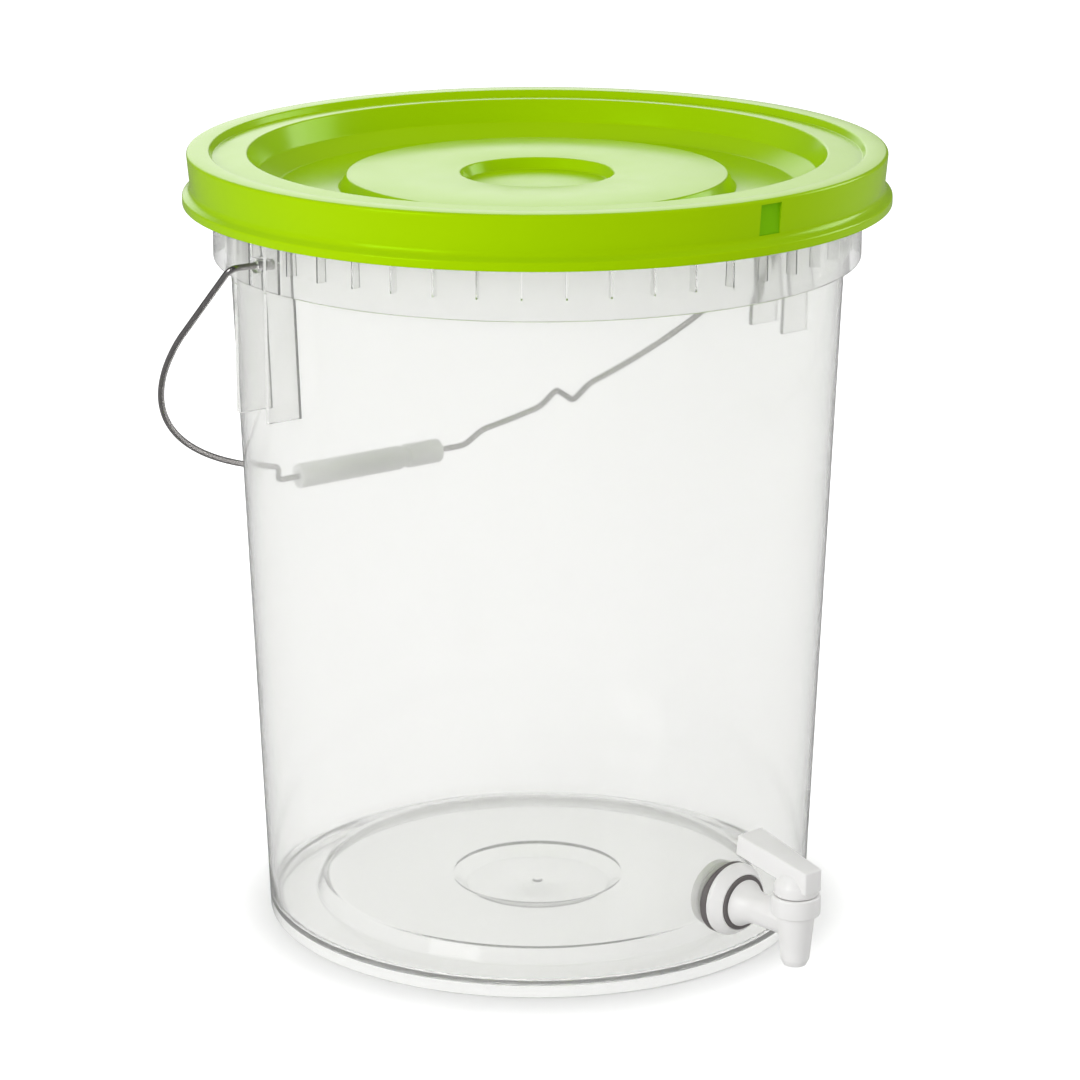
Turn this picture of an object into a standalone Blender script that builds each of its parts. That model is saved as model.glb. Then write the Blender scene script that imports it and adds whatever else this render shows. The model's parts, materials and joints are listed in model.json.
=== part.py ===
"""A clear bucket with a snap lid, a wire bail with a plastic grip, and a plug tap near its foot.

Metres, +Z up. The bucket stands on z = 0. The ears lie along X, the tap points to -Y,
and the bail rests on the wall at +Y. The origin is the centre of the whole part's base.
"""

import math

import bmesh
import bpy
from mathutils import Matrix, Vector

for item in list(bpy.data.objects):
    bpy.data.objects.remove(item, do_unlink=True)

MM = 0.001

# Fits and facets
GAP = 0.3 * MM
OVERRUN = 2.0 * MM
ROUND_STEPS = 56
SMALL_STEPS = 24
SHARP_ANGLE = math.radians(32)
MERGE_DISTANCE = 0.001 * MM

# Bucket wall and foot
BASE_RADIUS = 132.4 * MM
SHOULDER_RADIUS = 145.5 * MM
WALL_THICKNESS = 2.0 * MM
FOOT_THICKNESS = 2.6 * MM

# Bucket floor, on its upper side: a gutter, a raised plateau that falls to a sink, and its disc
FLOOR_THICKNESS = 2.0 * MM
FLOOR_HEIGHT = 7.5 * MM
FLOOR_CORNER = 4.0 * MM
GUTTER_WIDTH = 21.2 * MM
PLATEAU_RISE = 8.0 * MM
PLATEAU_SLOPE_RUN = 3.5 * MM
PLATEAU_FALL = 3.0 * MM
SINK_RADIUS = 42.0 * MM
SINK_RUN = 6.8 * MM
SINK_DEPTH = 5.0 * MM

# Collar below the lid, hung from a web that stands out from the wall
WEB_BELOW_RIM = 14.5 * MM
WEB_THICKNESS = 2.0 * MM
COLLAR_STEP = 7.8 * MM
COLLAR_THICKNESS = 1.8 * MM
COLLAR_HEIGHT = 30.1 * MM
RIB_COUNT = 48
RIB_PHASE = math.radians(-1.1)
RIB_THICKNESS = 1.2 * MM
RIB_HEIGHT = 20.7 * MM

# Rim that the lid snaps over
RIM_LIP_STEP = 6.7 * MM
RIM_THICKNESS = 2.2 * MM
RIM_LIP_DEPTH = 7.0 * MM

# Ears: two fins each, a tab that joins them and a boss that holds the wire
FIN_THICKNESS = 2.5 * MM
FIN_SPACING = 25.0 * MM
FIN_LENGTH = 88.5 * MM
TAB_INSET = 0.3 * MM
BOSS_WALL = 1.7 * MM
BOSS_INSET = 2.5 * MM
EAR_BELOW_WEB = 17.8 * MM

# Lid, on its upper side, from the skirt inwards
LID_HEIGHT = 377.4 * MM
LID_THICKNESS = 1.9 * MM
LID_SKIRT_DEPTH = 24.6 * MM
LID_LIP_STEP = 3.9 * MM
LID_LIP_DEPTH = 4.5 * MM
LID_TOP_STEP = 1.6 * MM
LID_EDGE_ROUND = 1.5 * MM
LID_RIM_WIDTH = 10.7 * MM
LID_GROOVE_DEPTH = 3.2 * MM
LID_GROOVE_RUN = 1.5 * MM
LID_SHELF_WIDTH = 17.8 * MM
LID_SHELF_DEPTH = 1.6 * MM
LID_WELL_DEPTH = 19.1 * MM
LID_WELL_UPPER_RUN = 4.0 * MM
LID_WELL_LOWER_RUN = 9.4 * MM
LID_WELL_LOWER_RISE = 6.5 * MM
LID_WELL_FLOOR_WIDTH = 29.5 * MM
LID_DISC_RISE = 6.5 * MM
LID_DISC_RUN = 3.6 * MM
LID_RECESS_RADIUS = 36.3 * MM
LID_RECESS_DEPTH = 5.3 * MM
LID_RECESS_RUN = 2.0 * MM

# Lid, on its lower side
SNAP_BEAD = 0.9 * MM
SNAP_BEAD_HEIGHT = 4.0 * MM
SNAP_CLEARANCE = 0.6 * MM
PLUG_RING_DEPTH = 8.0 * MM
PLUG_RING_CLEARANCE = 0.6 * MM

# Bail wire, in its own plane: width along the hinge, reach away from it
WIRE_RADIUS = 1.5 * MM
WIRE_CLEARANCE = 0.4 * MM
WIRE_HEAD_STEP = 1.1 * MM
WIRE_HEAD_LENGTH = 2.0 * MM
WIRE_HEAD_PLAY = 1.7 * MM
BAIL_LID_CLEARANCE = 1.7 * MM
BAIL_SPREAD = 4.5 * MM
BAIL_LEG_REACH = 55.0 * MM
BAIL_REACH = 209.0 * MM
BAIL_BOW_DROP = 3.4 * MM
GRIP_PLAY = 13.0 * MM
GRIP_STEP_RUN = 5.0 * MM
KINK_FIRST_WIDTH = 97.0 * MM
KINK_LENGTH = 19.0 * MM
KINK_SIZE = 14.0 * MM
KINK_SHOULDER = 2.5 * MM
WIRE_BEND = 4.0 * MM
BEND_SHARE = 0.45
BOW_STEPS = 14

# Grip
GRIP_RADIUS = 6.25 * MM
GRIP_CLEARANCE = 0.5 * MM
GRIP_LEFT = 46.0 * MM
GRIP_RIGHT = 42.0 * MM
GRIP_NOTCH_PLACE = 19.5 * MM
GRIP_NOTCH_WIDTH = 5.0 * MM
GRIP_NOTCH_DEPTH = 1.0 * MM
GRIP_END_ROUND = 0.8 * MM

# Tap, shank side: places along the tap's own level axis
TAP_TURN = math.radians(6)
TAP_HEIGHT = 38.0 * MM
SHANK_RADIUS = 9.5 * MM
SHANK_CLEARANCE = 0.5 * MM
SHANK_END_BEYOND_NUT = 2.3 * MM
WATER_BORE_RADIUS = 4.5 * MM
OUTER_WASHER_LEAST = 1.8 * MM
INNER_WASHER_LEAST = 1.7 * MM
NUT_RADIUS = 15.9 * MM
NUT_THICKNESS = 4.5 * MM
NUT_EDGE = 0.8 * MM
FLANGE_THICKNESS = 7.4 * MM
FLANGE_EDGE = 2.5 * MM
FLANGE_SLOPE_RUN = 3.5 * MM
SEAL_RADIUS = 13.0 * MM
SEAL_THICKNESS = 3.5 * MM
SEAL_SEAT_DEPTH = 3.0 * MM
SEAL_SEAT_WALL = 0.6 * MM
TAIL_RADIUS = 6.8 * MM
TAIL_LENGTH = 9.0 * MM
NECK_ROOT_RADIUS = 11.2 * MM
NECK_RADIUS = 7.4 * MM
NECK_FLARE_LENGTH = 11.0 * MM
NECK_FLARE_STEPS = 6
NECK_SHORT_OF_CENTRE = 1.3 * MM

# Tap, barrel side: rises and drops from the shank's axis
TAP_REACH = 44.5 * MM
BARREL_RADIUS = 8.9 * MM
CAP_RING_STEP = 2.5 * MM
CAP_RING_RISE = 4.9 * MM
CAP_RING_HEIGHT = 9.4 * MM
CAP_RING_EDGE = 0.8 * MM
SPOUT_LOW_RADIUS = 6.7 * MM
SPOUT_TIP_STEP = 1.5 * MM
SPOUT_DROP = 20.3 * MM
SPOUT_CHAMFER = 3.0 * MM
SPOUT_BORE_RADIUS = 4.2 * MM

# Tap plug and its seals
PLUG_RADIUS = 6.3 * MM
PLUG_FOOT_DROP = 10.2 * MM
PLUG_PORT_RADIUS = 3.4 * MM
PLUG_WELL_RISE = 5.0 * MM
TENON_RADIUS = 4.0 * MM
SEAL_GROOVE_DEPTH = 1.7 * MM
SEAL_GROOVE_WIDTH = 2.0 * MM
UPPER_GROOVE_DROP = 5.0 * MM
LOWER_GROOVE_RISE = 2.7 * MM

# Tap handle: the bar rises and widens from its outer end towards the bucket
HUB_RADIUS = 10.2 * MM
HUB_HEIGHT = 10.4 * MM
HUB_SLOPE_RUN = 3.4 * MM
HUB_SLOPE_DROP = 5.5 * MM
HUB_ROOF = 1.2 * MM
BAR_OUTER_WIDTH = 10.7 * MM
BAR_FLARE = 2.4 * MM
BAR_FOOT_STEP = 1.2 * MM
BAR_OVERHANG = 0.8 * MM
BAR_INNER_END = 31.0 * MM
BAR_SINK = 7.7 * MM
BAR_OUTER_HEIGHT = 11.0 * MM
BAR_RISE = 10.0 * MM
BAR_INNER_HEIGHT = 9.5 * MM
BAR_EDGE = 0.9 * MM

# Heights of the bucket, worked out down from the lid's top
RIM_HEIGHT = LID_HEIGHT - LID_GROOVE_DEPTH - LID_THICKNESS - GAP
WEB_HEIGHT = RIM_HEIGHT - WEB_BELOW_RIM
SHOULDER_HEIGHT = WEB_HEIGHT - COLLAR_HEIGHT
RIB_BOTTOM_HEIGHT = WEB_HEIGHT - RIB_HEIGHT
FIN_BOTTOM_HEIGHT = WEB_HEIGHT - FIN_LENGTH
EAR_HEIGHT = WEB_HEIGHT - EAR_BELOW_WEB
LIP_BOTTOM_HEIGHT = LID_HEIGHT - LID_SKIRT_DEPTH
TAPER = (SHOULDER_RADIUS - BASE_RADIUS) / SHOULDER_HEIGHT


def wall_outside(height):
    """The wall's outer radius at a height."""
    return BASE_RADIUS + TAPER * height


def wall_inside(height):
    """The wall's inner radius at a height."""
    return wall_outside(height) - WALL_THICKNESS


# Bucket floor, worked out in from the wall
GUTTER_RADIUS = wall_inside(FLOOR_HEIGHT) - GUTTER_WIDTH
PLATEAU_RADIUS = GUTTER_RADIUS - PLATEAU_SLOPE_RUN
PLATEAU_HEIGHT = FLOOR_HEIGHT + PLATEAU_RISE
SINK_RIM_HEIGHT = PLATEAU_HEIGHT - PLATEAU_FALL
DISC_RADIUS = SINK_RADIUS - SINK_RUN
DISC_HEIGHT = SINK_RIM_HEIGHT - SINK_DEPTH

# Collar, rim and ears, worked out from the wall
COLLAR_RADIUS = SHOULDER_RADIUS + COLLAR_STEP
COLLAR_INNER_RADIUS = COLLAR_RADIUS - COLLAR_THICKNESS
RIM_LIP_RADIUS = COLLAR_RADIUS + RIM_LIP_STEP
FIN_REACH = RIM_LIP_RADIUS
WIRE_HOLE_RADIUS = WIRE_RADIUS + WIRE_CLEARANCE
BOSS_RADIUS = WIRE_HOLE_RADIUS + BOSS_WALL
BOSS_REACH = FIN_REACH - BOSS_INSET

# Lid, worked out from the rim that it grips
SNAP_RADIUS = RIM_LIP_RADIUS + SNAP_CLEARANCE
SKIRT_INNER_RADIUS = SNAP_RADIUS + SNAP_BEAD
LID_WAIST_RADIUS = SKIRT_INNER_RADIUS + LID_THICKNESS
LID_RADIUS = LID_WAIST_RADIUS + LID_TOP_STEP
LID_LIP_RADIUS = LID_WAIST_RADIUS + LID_LIP_STEP
LID_RIM_INNER_RADIUS = LID_RADIUS - LID_RIM_WIDTH
LID_WELL_RADIUS = LID_RIM_INNER_RADIUS - LID_SHELF_WIDTH
LID_WELL_MID_RADIUS = LID_WELL_RADIUS - LID_WELL_UPPER_RUN
LID_WELL_FLOOR_RADIUS = LID_WELL_MID_RADIUS - LID_WELL_LOWER_RUN
LID_DISC_FOOT_RADIUS = LID_WELL_FLOOR_RADIUS - LID_WELL_FLOOR_WIDTH
LID_DISC_RADIUS = LID_DISC_FOOT_RADIUS - LID_DISC_RUN
PLUG_RING_RADIUS = wall_inside(RIM_HEIGHT) - PLUG_RING_CLEARANCE

# Bail, worked out from the ears, the lid that it clears and the wall that it rests on
WIRE_HEAD_RADIUS = WIRE_RADIUS + WIRE_HEAD_STEP
WIRE_HEAD_END = COLLAR_INNER_RADIUS - WIRE_HEAD_PLAY - WIRE_HEAD_LENGTH
BAIL_EAR_HALF_WIDTH = LID_LIP_RADIUS + BAIL_LID_CLEARANCE + WIRE_RADIUS
BAIL_HALF_WIDTH = BAIL_EAR_HALF_WIDTH + BAIL_SPREAD
BAIL_BOW_REACH = BAIL_REACH - BAIL_BOW_DROP - BAIL_LEG_REACH
GRIP_STEP_HALF_WIDTH = GRIP_LEFT + GRIP_PLAY
KINK_SECOND_WIDTH = KINK_FIRST_WIDTH + KINK_LENGTH
GRIP_BORE_RADIUS = WIRE_RADIUS + GRIP_CLEARANCE
BAIL_CONTACT = wall_outside(EAR_HEIGHT) + GRIP_RADIUS * math.hypot(1, TAPER) + GAP
BAIL_REST_ANGLE = math.atan2(TAPER, 1) + math.acos(
    BAIL_CONTACT / (BAIL_REACH * math.hypot(1, TAPER))
)

# Tap, worked out along its level axis from the wall
TAP_WALL = wall_outside(TAP_HEIGHT)
TAP_WALL_INSIDE = wall_inside(TAP_HEIGHT)
TAP_CENTRE = TAP_WALL + TAP_REACH
SEAL_SEAT_RADIUS = SEAL_RADIUS + GAP
FLANGE_FRONT_RADIUS = SEAL_SEAT_RADIUS + SEAL_SEAT_WALL
FLANGE_RADIUS = FLANGE_FRONT_RADIUS + FLANGE_SLOPE_RUN


def wall_rise(radius):
    """How far the sloping wall comes forward within a radius of the tap's axis."""
    return abs(TAPER) * radius


def wall_fall(radius):
    """How far the round, sloping wall falls back within a radius of the tap's axis."""
    return radius**2 / (2 * TAP_WALL_INSIDE) + TAPER**2 * TAP_WALL_INSIDE / 2


OUTER_WASHER_FACE = TAP_WALL + wall_rise(FLANGE_RADIUS) + OUTER_WASHER_LEAST
INNER_WASHER_FACE = TAP_WALL_INSIDE - wall_fall(NUT_RADIUS) - INNER_WASHER_LEAST
NUT_FACE = INNER_WASHER_FACE - GAP
SHANK_END = NUT_FACE - NUT_THICKNESS - SHANK_END_BEYOND_NUT
FLANGE_BACK = OUTER_WASHER_FACE + GAP
FLANGE_FRONT = FLANGE_BACK + FLANGE_THICKNESS
SEAL_BACK = FLANGE_FRONT - SEAL_SEAT_DEPTH + GAP
SEAL_FRONT = SEAL_BACK + SEAL_THICKNESS
NECK_BACK = SEAL_FRONT + GAP
TAIL_END = NECK_BACK - TAIL_LENGTH

# Tap, worked out up and down from its level axis
SPOUT_TIP_HEIGHT = TAP_HEIGHT - SPOUT_DROP
SPOUT_TIP_RADIUS = SPOUT_LOW_RADIUS - SPOUT_TIP_STEP
CAP_RING_RADIUS = BARREL_RADIUS + CAP_RING_STEP
CAP_RING_BOTTOM = TAP_HEIGHT + CAP_RING_RISE
CAP_RING_TOP = CAP_RING_BOTTOM + CAP_RING_HEIGHT
PLUG_BORE_RADIUS = PLUG_RADIUS + GAP
PLUG_FOOT_HEIGHT = TAP_HEIGHT - PLUG_FOOT_DROP
PLUG_WELL_TOP = TAP_HEIGHT + PLUG_WELL_RISE
PLUG_TOP = CAP_RING_TOP - GAP
SEAL_GROOVE_RADIUS = PLUG_RADIUS - SEAL_GROOVE_DEPTH
UPPER_GROOVE_HEIGHT = PLUG_TOP - UPPER_GROOVE_DROP
LOWER_GROOVE_HEIGHT = PLUG_FOOT_HEIGHT + LOWER_GROOVE_RISE
HUB_BOTTOM = CAP_RING_TOP + GAP
HUB_TOP = HUB_BOTTOM + HUB_HEIGHT
TENON_TOP = HUB_TOP - HUB_ROOF - GAP
BAR_OUTER_BOTTOM = HUB_TOP - BAR_SINK
BAR_OUTER_END = HUB_RADIUS + BAR_OVERHANG


def material(name, colour, roughness, metallic=0.0, alpha=1.0):
    """A plain material of one colour."""
    made = bpy.data.materials.new(name)
    made.use_nodes = True
    shader = made.node_tree.nodes["Principled BSDF"]
    shader.inputs["Base Color"].default_value = (*colour, 1.0)
    shader.inputs["Roughness"].default_value = roughness
    shader.inputs["Metallic"].default_value = metallic
    shader.inputs["Alpha"].default_value = alpha
    return made


def add_object(name, mesh, surface=None, parent=None):
    """Links a mesh to the scene as a named object."""
    made = bpy.data.objects.new(name, mesh)
    bpy.context.scene.collection.objects.link(made)
    made.parent = parent
    if surface:
        mesh.materials.append(surface)
    return made


def finish_mesh(bm, name):
    """Turns a bmesh into a mesh with its faces out and its round faces smooth."""
    bmesh.ops.remove_doubles(bm, verts=bm.verts, dist=MERGE_DISTANCE)
    bmesh.ops.recalc_face_normals(bm, faces=bm.faces)
    mesh = bpy.data.meshes.new(name)
    bm.to_mesh(mesh)
    bm.free()
    mesh.shade_smooth()
    mesh.set_sharp_from_angle(angle=SHARP_ANGLE)
    return mesh


def turned_mesh(name, outline, steps):
    """A solid of revolution about Z from (radius, height) points, closed where it leaves the axis."""
    bm = bmesh.new()
    points = [bm.verts.new((radius, 0, height)) for radius, height in outline]
    on_axis = outline[0][0] == 0 and outline[-1][0] == 0
    pairs = list(zip(points, points[1:]))
    if not on_axis:
        pairs.append((points[-1], points[0]))
    edges = [bm.edges.new(pair) for pair in pairs]
    bmesh.ops.spin(
        bm,
        geom=points + edges,
        cent=(0, 0, 0),
        axis=(0, 0, 1),
        angle=math.tau,
        steps=steps,
        use_merge=True,
    )
    return finish_mesh(bm, name)


def bridge(bm, first, second):
    """Closes a solid between two outlines with as many points each."""
    bm.faces.new(first)
    bm.faces.new(second)
    for index in range(len(first)):
        bm.faces.new([first[index - 1], first[index], second[index], second[index - 1]])


def plate_into(bm, outline, thickness, turn=0.0):
    """Adds an upright plate from its (x, z) side outline, turned about Z."""
    place = Matrix.Rotation(turn, 3, "Z")
    first, second = (
        [bm.verts.new(place @ Vector((x, side * thickness / 2, z))) for x, z in outline]
        for side in (-1, 1)
    )
    bridge(bm, first, second)


def rod_into(bm, start, direction, length, radius, steps=SMALL_STEPS):
    """Adds a round rod from a point along a direction."""
    turn = Vector(direction).to_track_quat("Z", "Y").to_matrix().to_4x4()
    place = Matrix.Translation(start) @ turn @ Matrix.Translation((0, 0, length / 2))
    bmesh.ops.create_cone(
        bm,
        cap_ends=True,
        segments=steps,
        radius1=radius,
        radius2=radius,
        depth=length,
        matrix=place,
    )


def helper(name, mesh, parent=None):
    """A hidden object that a Boolean uses."""
    made = add_object(name, mesh, parent=parent)
    made.hide_render = True
    made.display_type = "WIRE"
    return made


def boolean(target, other, operation):
    """Adds an exact Boolean to an object."""
    modifier = target.modifiers.new(other.name, "BOOLEAN")
    modifier.operation = operation
    modifier.object = other
    modifier.solver = "EXACT"


def empty(name, location, rotation=(0, 0, 0), parent=None):
    """An empty that carries a group of pieces."""
    made = bpy.data.objects.new(name, None)
    bpy.context.scene.collection.objects.link(made)
    made.location = location
    made.rotation_euler = rotation
    made.parent = parent
    return made


# Colours
CLEAR = material("clear_plastic", (0.88, 0.89, 0.88), 0.12, alpha=0.3)
LIME = material("lime_plastic", (0.42, 0.66, 0.01), 0.28)
WIRE = material("galvanised_wire", (0.52, 0.51, 0.50), 0.35, metallic=1.0)
GRIP_WHITE = material("grip_plastic", (0.80, 0.80, 0.80), 0.45)
TAP_WHITE = material("tap_plastic", (0.82, 0.82, 0.81), 0.35)
RUBBER = material("dark_rubber", (0.06, 0.055, 0.055), 0.70)
PALE_RUBBER = material("pale_rubber", (0.75, 0.74, 0.72), 0.60)

# The part's empties: the stand carries all, and each moving piece has one on its joint's axis
STAND = empty("stand", (0, 0, 0))
BAIL_HINGE = empty("bail_hinge", (0, 0, EAR_HEIGHT), (-BAIL_REST_ANGLE, 0, 0), STAND)
GRIP_AXIS = empty("grip_axis", (0, BAIL_REACH, 0), (0, math.pi / 2, 0), BAIL_HINGE)
TAP_FRAME = empty("tap_frame", (0, 0, 0), (0, 0, TAP_TURN), STAND)
SHANK_AXIS = empty("shank_axis", (0, 0, TAP_HEIGHT), (math.pi / 2, 0, 0), TAP_FRAME)
PLUG_AXIS = empty("plug_axis", (0, -TAP_CENTRE, 0), (0, 0, 0), TAP_FRAME)


def bucket_outline():
    """The bucket's section: floor and inside first, over the rim, down the outside, back under."""
    web_under = WEB_HEIGHT - WEB_THICKNESS
    rim_under = RIM_HEIGHT - RIM_THICKNESS
    lip_inner = RIM_LIP_RADIUS - RIM_THICKNESS
    lip_bottom = RIM_HEIGHT - RIM_LIP_DEPTH
    foot_inner = BASE_RADIUS - FOOT_THICKNESS
    corner = FLOOR_HEIGHT + FLOOR_CORNER
    half = FLOOR_CORNER * (1 - math.sqrt(0.5))
    inside = [
        (0, DISC_HEIGHT),
        (DISC_RADIUS, DISC_HEIGHT),
        (SINK_RADIUS, SINK_RIM_HEIGHT),
        (PLATEAU_RADIUS, PLATEAU_HEIGHT),
        (GUTTER_RADIUS, FLOOR_HEIGHT),
        (wall_inside(FLOOR_HEIGHT) - FLOOR_CORNER, FLOOR_HEIGHT),
        (wall_inside(FLOOR_HEIGHT) - half, FLOOR_HEIGHT + half),
        (wall_inside(corner), corner),
        (wall_inside(RIM_HEIGHT), RIM_HEIGHT),
    ]
    outside = [
        (RIM_LIP_RADIUS, RIM_HEIGHT),
        (RIM_LIP_RADIUS, lip_bottom),
        (lip_inner, lip_bottom),
        (lip_inner, rim_under),
        (wall_outside(rim_under), rim_under),
        (wall_outside(WEB_HEIGHT), WEB_HEIGHT),
        (COLLAR_RADIUS, WEB_HEIGHT),
        (COLLAR_RADIUS, SHOULDER_HEIGHT),
        (COLLAR_INNER_RADIUS, SHOULDER_HEIGHT),
        (COLLAR_INNER_RADIUS, web_under),
        (wall_outside(web_under), web_under),
        (BASE_RADIUS, 0),
        (foot_inner, 0),
    ]
    under = [
        (foot_inner, FLOOR_HEIGHT - FLOOR_THICKNESS),
        (GUTTER_RADIUS - FLOOR_THICKNESS, FLOOR_HEIGHT - FLOOR_THICKNESS),
        (PLATEAU_RADIUS - FLOOR_THICKNESS, PLATEAU_HEIGHT - FLOOR_THICKNESS),
        (SINK_RADIUS, SINK_RIM_HEIGHT - FLOOR_THICKNESS),
        (DISC_RADIUS, DISC_HEIGHT - FLOOR_THICKNESS),
        (0, DISC_HEIGHT - FLOOR_THICKNESS),
    ]
    return inside + outside + under


def wall_middle(height, aside=0.0):
    """The middle of the wall at a height, at a distance aside from the axis."""
    return math.sqrt((wall_outside(height) - WALL_THICKNESS / 2) ** 2 - aside**2)


def make_ribs():
    """The thin upright ribs between wall and collar, left out where the fins stand."""
    bm = bmesh.new()
    outer = COLLAR_RADIUS - COLLAR_THICKNESS / 2
    top = WEB_HEIGHT - WEB_THICKNESS / 2
    outline = [
        (wall_middle(RIB_BOTTOM_HEIGHT), RIB_BOTTOM_HEIGHT),
        (outer, RIB_BOTTOM_HEIGHT),
        (outer, top),
        (wall_middle(top), top),
    ]
    fin_half_angle = math.asin((FIN_SPACING / 2 + FIN_THICKNESS) / COLLAR_RADIUS)
    for number in range(RIB_COUNT):
        turn = RIB_PHASE + math.tau * number / RIB_COUNT
        from_ear = abs(math.remainder(turn, math.pi))
        if from_ear <= fin_half_angle:
            continue
        plate_into(bm, outline, RIB_THICKNESS, turn)
    return helper("rib_shapes", finish_mesh(bm, "rib_shapes"), STAND)


def make_ears():
    """The two ears: a pair of long upright fins under one tab, rooted in the wall."""
    bm = bmesh.new()
    inner = (FIN_SPACING - FIN_THICKNESS) / 2
    outer = (FIN_SPACING + FIN_THICKNESS) / 2
    bottom = FIN_BOTTOM_HEIGHT
    under = WEB_HEIGHT - WEB_THICKNESS + TAB_INSET
    top = WEB_HEIGHT - TAB_INSET
    right = [(inner, under), (inner, bottom), (outer, bottom), (outer, top)]
    outline = right + [(-aside, height) for aside, height in right[::-1]]
    root = wall_middle(bottom, FIN_SPACING / 2)
    for side in (-1, 1):
        root_points = [
            bm.verts.new((side * (root + TAPER * (height - bottom)), aside, height))
            for aside, height in outline
        ]
        tip_points = [bm.verts.new((side * FIN_REACH, aside, height)) for aside, height in outline]
        bridge(bm, root_points, tip_points)
    return helper("ear_shapes", finish_mesh(bm, "ear_shapes"), STAND)


def make_bosses():
    """The boss round each wire hole."""
    bm = bmesh.new()
    start = COLLAR_RADIUS - COLLAR_THICKNESS / 2
    for side in (-1, 1):
        place = (side * start, 0, EAR_HEIGHT)
        rod_into(bm, place, (side, 0, 0), BOSS_REACH - start, BOSS_RADIUS)
    return helper("boss_shapes", finish_mesh(bm, "boss_shapes"), STAND)


def make_holes():
    """The wire holes in the ears and the tap's hole in the wall."""
    bm = bmesh.new()
    start = COLLAR_INNER_RADIUS - OVERRUN
    for side in (-1, 1):
        length = BOSS_REACH - start + OVERRUN
        rod_into(bm, (side * start, 0, EAR_HEIGHT), (side, 0, 0), length, WIRE_HOLE_RADIUS)
    outward = Vector((math.sin(TAP_TURN), -math.cos(TAP_TURN), 0))
    place = outward * (TAP_WALL_INSIDE - OVERRUN) + Vector((0, 0, TAP_HEIGHT))
    length = WALL_THICKNESS + 2 * OVERRUN
    rod_into(bm, place, outward, length, SHANK_RADIUS + SHANK_CLEARANCE)
    return helper("hole_shapes", finish_mesh(bm, "hole_shapes"), STAND)


def make_bucket():
    """The bucket, one moulding."""
    mesh = turned_mesh("bucket", bucket_outline(), ROUND_STEPS)
    bucket = add_object("bucket", mesh, CLEAR, STAND)
    for shapes in (make_ribs(), make_ears(), make_bosses()):
        boolean(bucket, shapes, "UNION")
    boolean(bucket, make_holes(), "DIFFERENCE")


def lid_outline():
    """The lid's section: the top from the centre out, down the skirt, and back along the underside."""
    top = LID_HEIGHT
    groove = top - LID_GROOVE_DEPTH
    shelf = top - LID_SHELF_DEPTH
    floor = top - LID_WELL_DEPTH
    well_mid = floor + LID_WELL_LOWER_RISE
    disc = floor + LID_DISC_RISE
    recess = disc - LID_RECESS_DEPTH
    thick = LID_THICKNESS
    lip_top = LIP_BOTTOM_HEIGHT + LID_LIP_DEPTH
    upper = [
        (0, recess),
        (LID_RECESS_RADIUS - LID_RECESS_RUN, recess),
        (LID_RECESS_RADIUS, disc),
        (LID_DISC_RADIUS, disc),
        (LID_DISC_FOOT_RADIUS, floor),
        (LID_WELL_FLOOR_RADIUS, floor),
        (LID_WELL_MID_RADIUS, well_mid),
        (LID_WELL_RADIUS, shelf),
        (LID_RIM_INNER_RADIUS - LID_GROOVE_RUN, groove),
        (LID_RIM_INNER_RADIUS, top),
        (LID_RADIUS - LID_EDGE_ROUND, top),
        (LID_RADIUS, top - LID_EDGE_ROUND),
        (LID_WAIST_RADIUS, lip_top + LID_EDGE_ROUND),
        (LID_LIP_RADIUS, lip_top - LID_EDGE_ROUND),
        (LID_LIP_RADIUS, LIP_BOTTOM_HEIGHT),
    ]
    bead_height = lip_top + LID_EDGE_ROUND
    plug_inner = PLUG_RING_RADIUS - thick
    plug_bottom = groove - thick - PLUG_RING_DEPTH
    lower = [
        (LID_LIP_RADIUS - thick, LIP_BOTTOM_HEIGHT),
        (SKIRT_INNER_RADIUS, bead_height - SNAP_BEAD_HEIGHT / 2),
        (SNAP_RADIUS, bead_height),
        (SKIRT_INNER_RADIUS, bead_height + SNAP_BEAD_HEIGHT / 2),
        (SKIRT_INNER_RADIUS, top - thick),
        (LID_RIM_INNER_RADIUS + LID_GROOVE_RUN, top - thick),
        (LID_RIM_INNER_RADIUS, groove - thick),
        (PLUG_RING_RADIUS, groove - thick),
        (PLUG_RING_RADIUS, plug_bottom),
        (plug_inner, plug_bottom),
        (plug_inner, groove - thick),
        (LID_WELL_RADIUS + thick, shelf - thick),
        (LID_WELL_MID_RADIUS + thick, well_mid - thick),
        (LID_WELL_FLOOR_RADIUS + thick / 2, floor - thick),
        (LID_DISC_FOOT_RADIUS - thick, floor - thick),
        (LID_DISC_RADIUS - thick, disc - thick),
        (LID_RECESS_RADIUS + thick, disc - thick),
        (LID_RECESS_RADIUS + thick - LID_RECESS_RUN, recess - thick),
        (0, recess - thick),
    ]
    return upper + lower


def make_lid():
    """The lid, one moulding, which lifts straight off."""
    mesh = turned_mesh("lid", lid_outline(), ROUND_STEPS)
    add_object("lid", mesh, LIME, STAND)


def rounded(corners, radius, steps=2):
    """A path through corner points, each inner corner turned in a short arc."""
    path = [corners[0]]
    for before, corner, after in zip(corners, corners[1:], corners[2:]):
        back, forth = before - corner, after - corner
        reach = min(radius, back.length * BEND_SHARE, forth.length * BEND_SHARE)
        start = corner + back.normalized() * reach
        end = corner + forth.normalized() * reach
        for step in range(steps + 1):
            share = step / steps
            first = start.lerp(corner, share)
            second = corner.lerp(end, share)
            path.append(first.lerp(second, share))
    path.append(corners[-1])
    return path


def bow(width):
    """The reach of the bail's bow at a width from its middle."""
    return BAIL_LEG_REACH + BAIL_BOW_REACH * math.sqrt(1 - (width / BAIL_HALF_WIDTH) ** 2)


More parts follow.
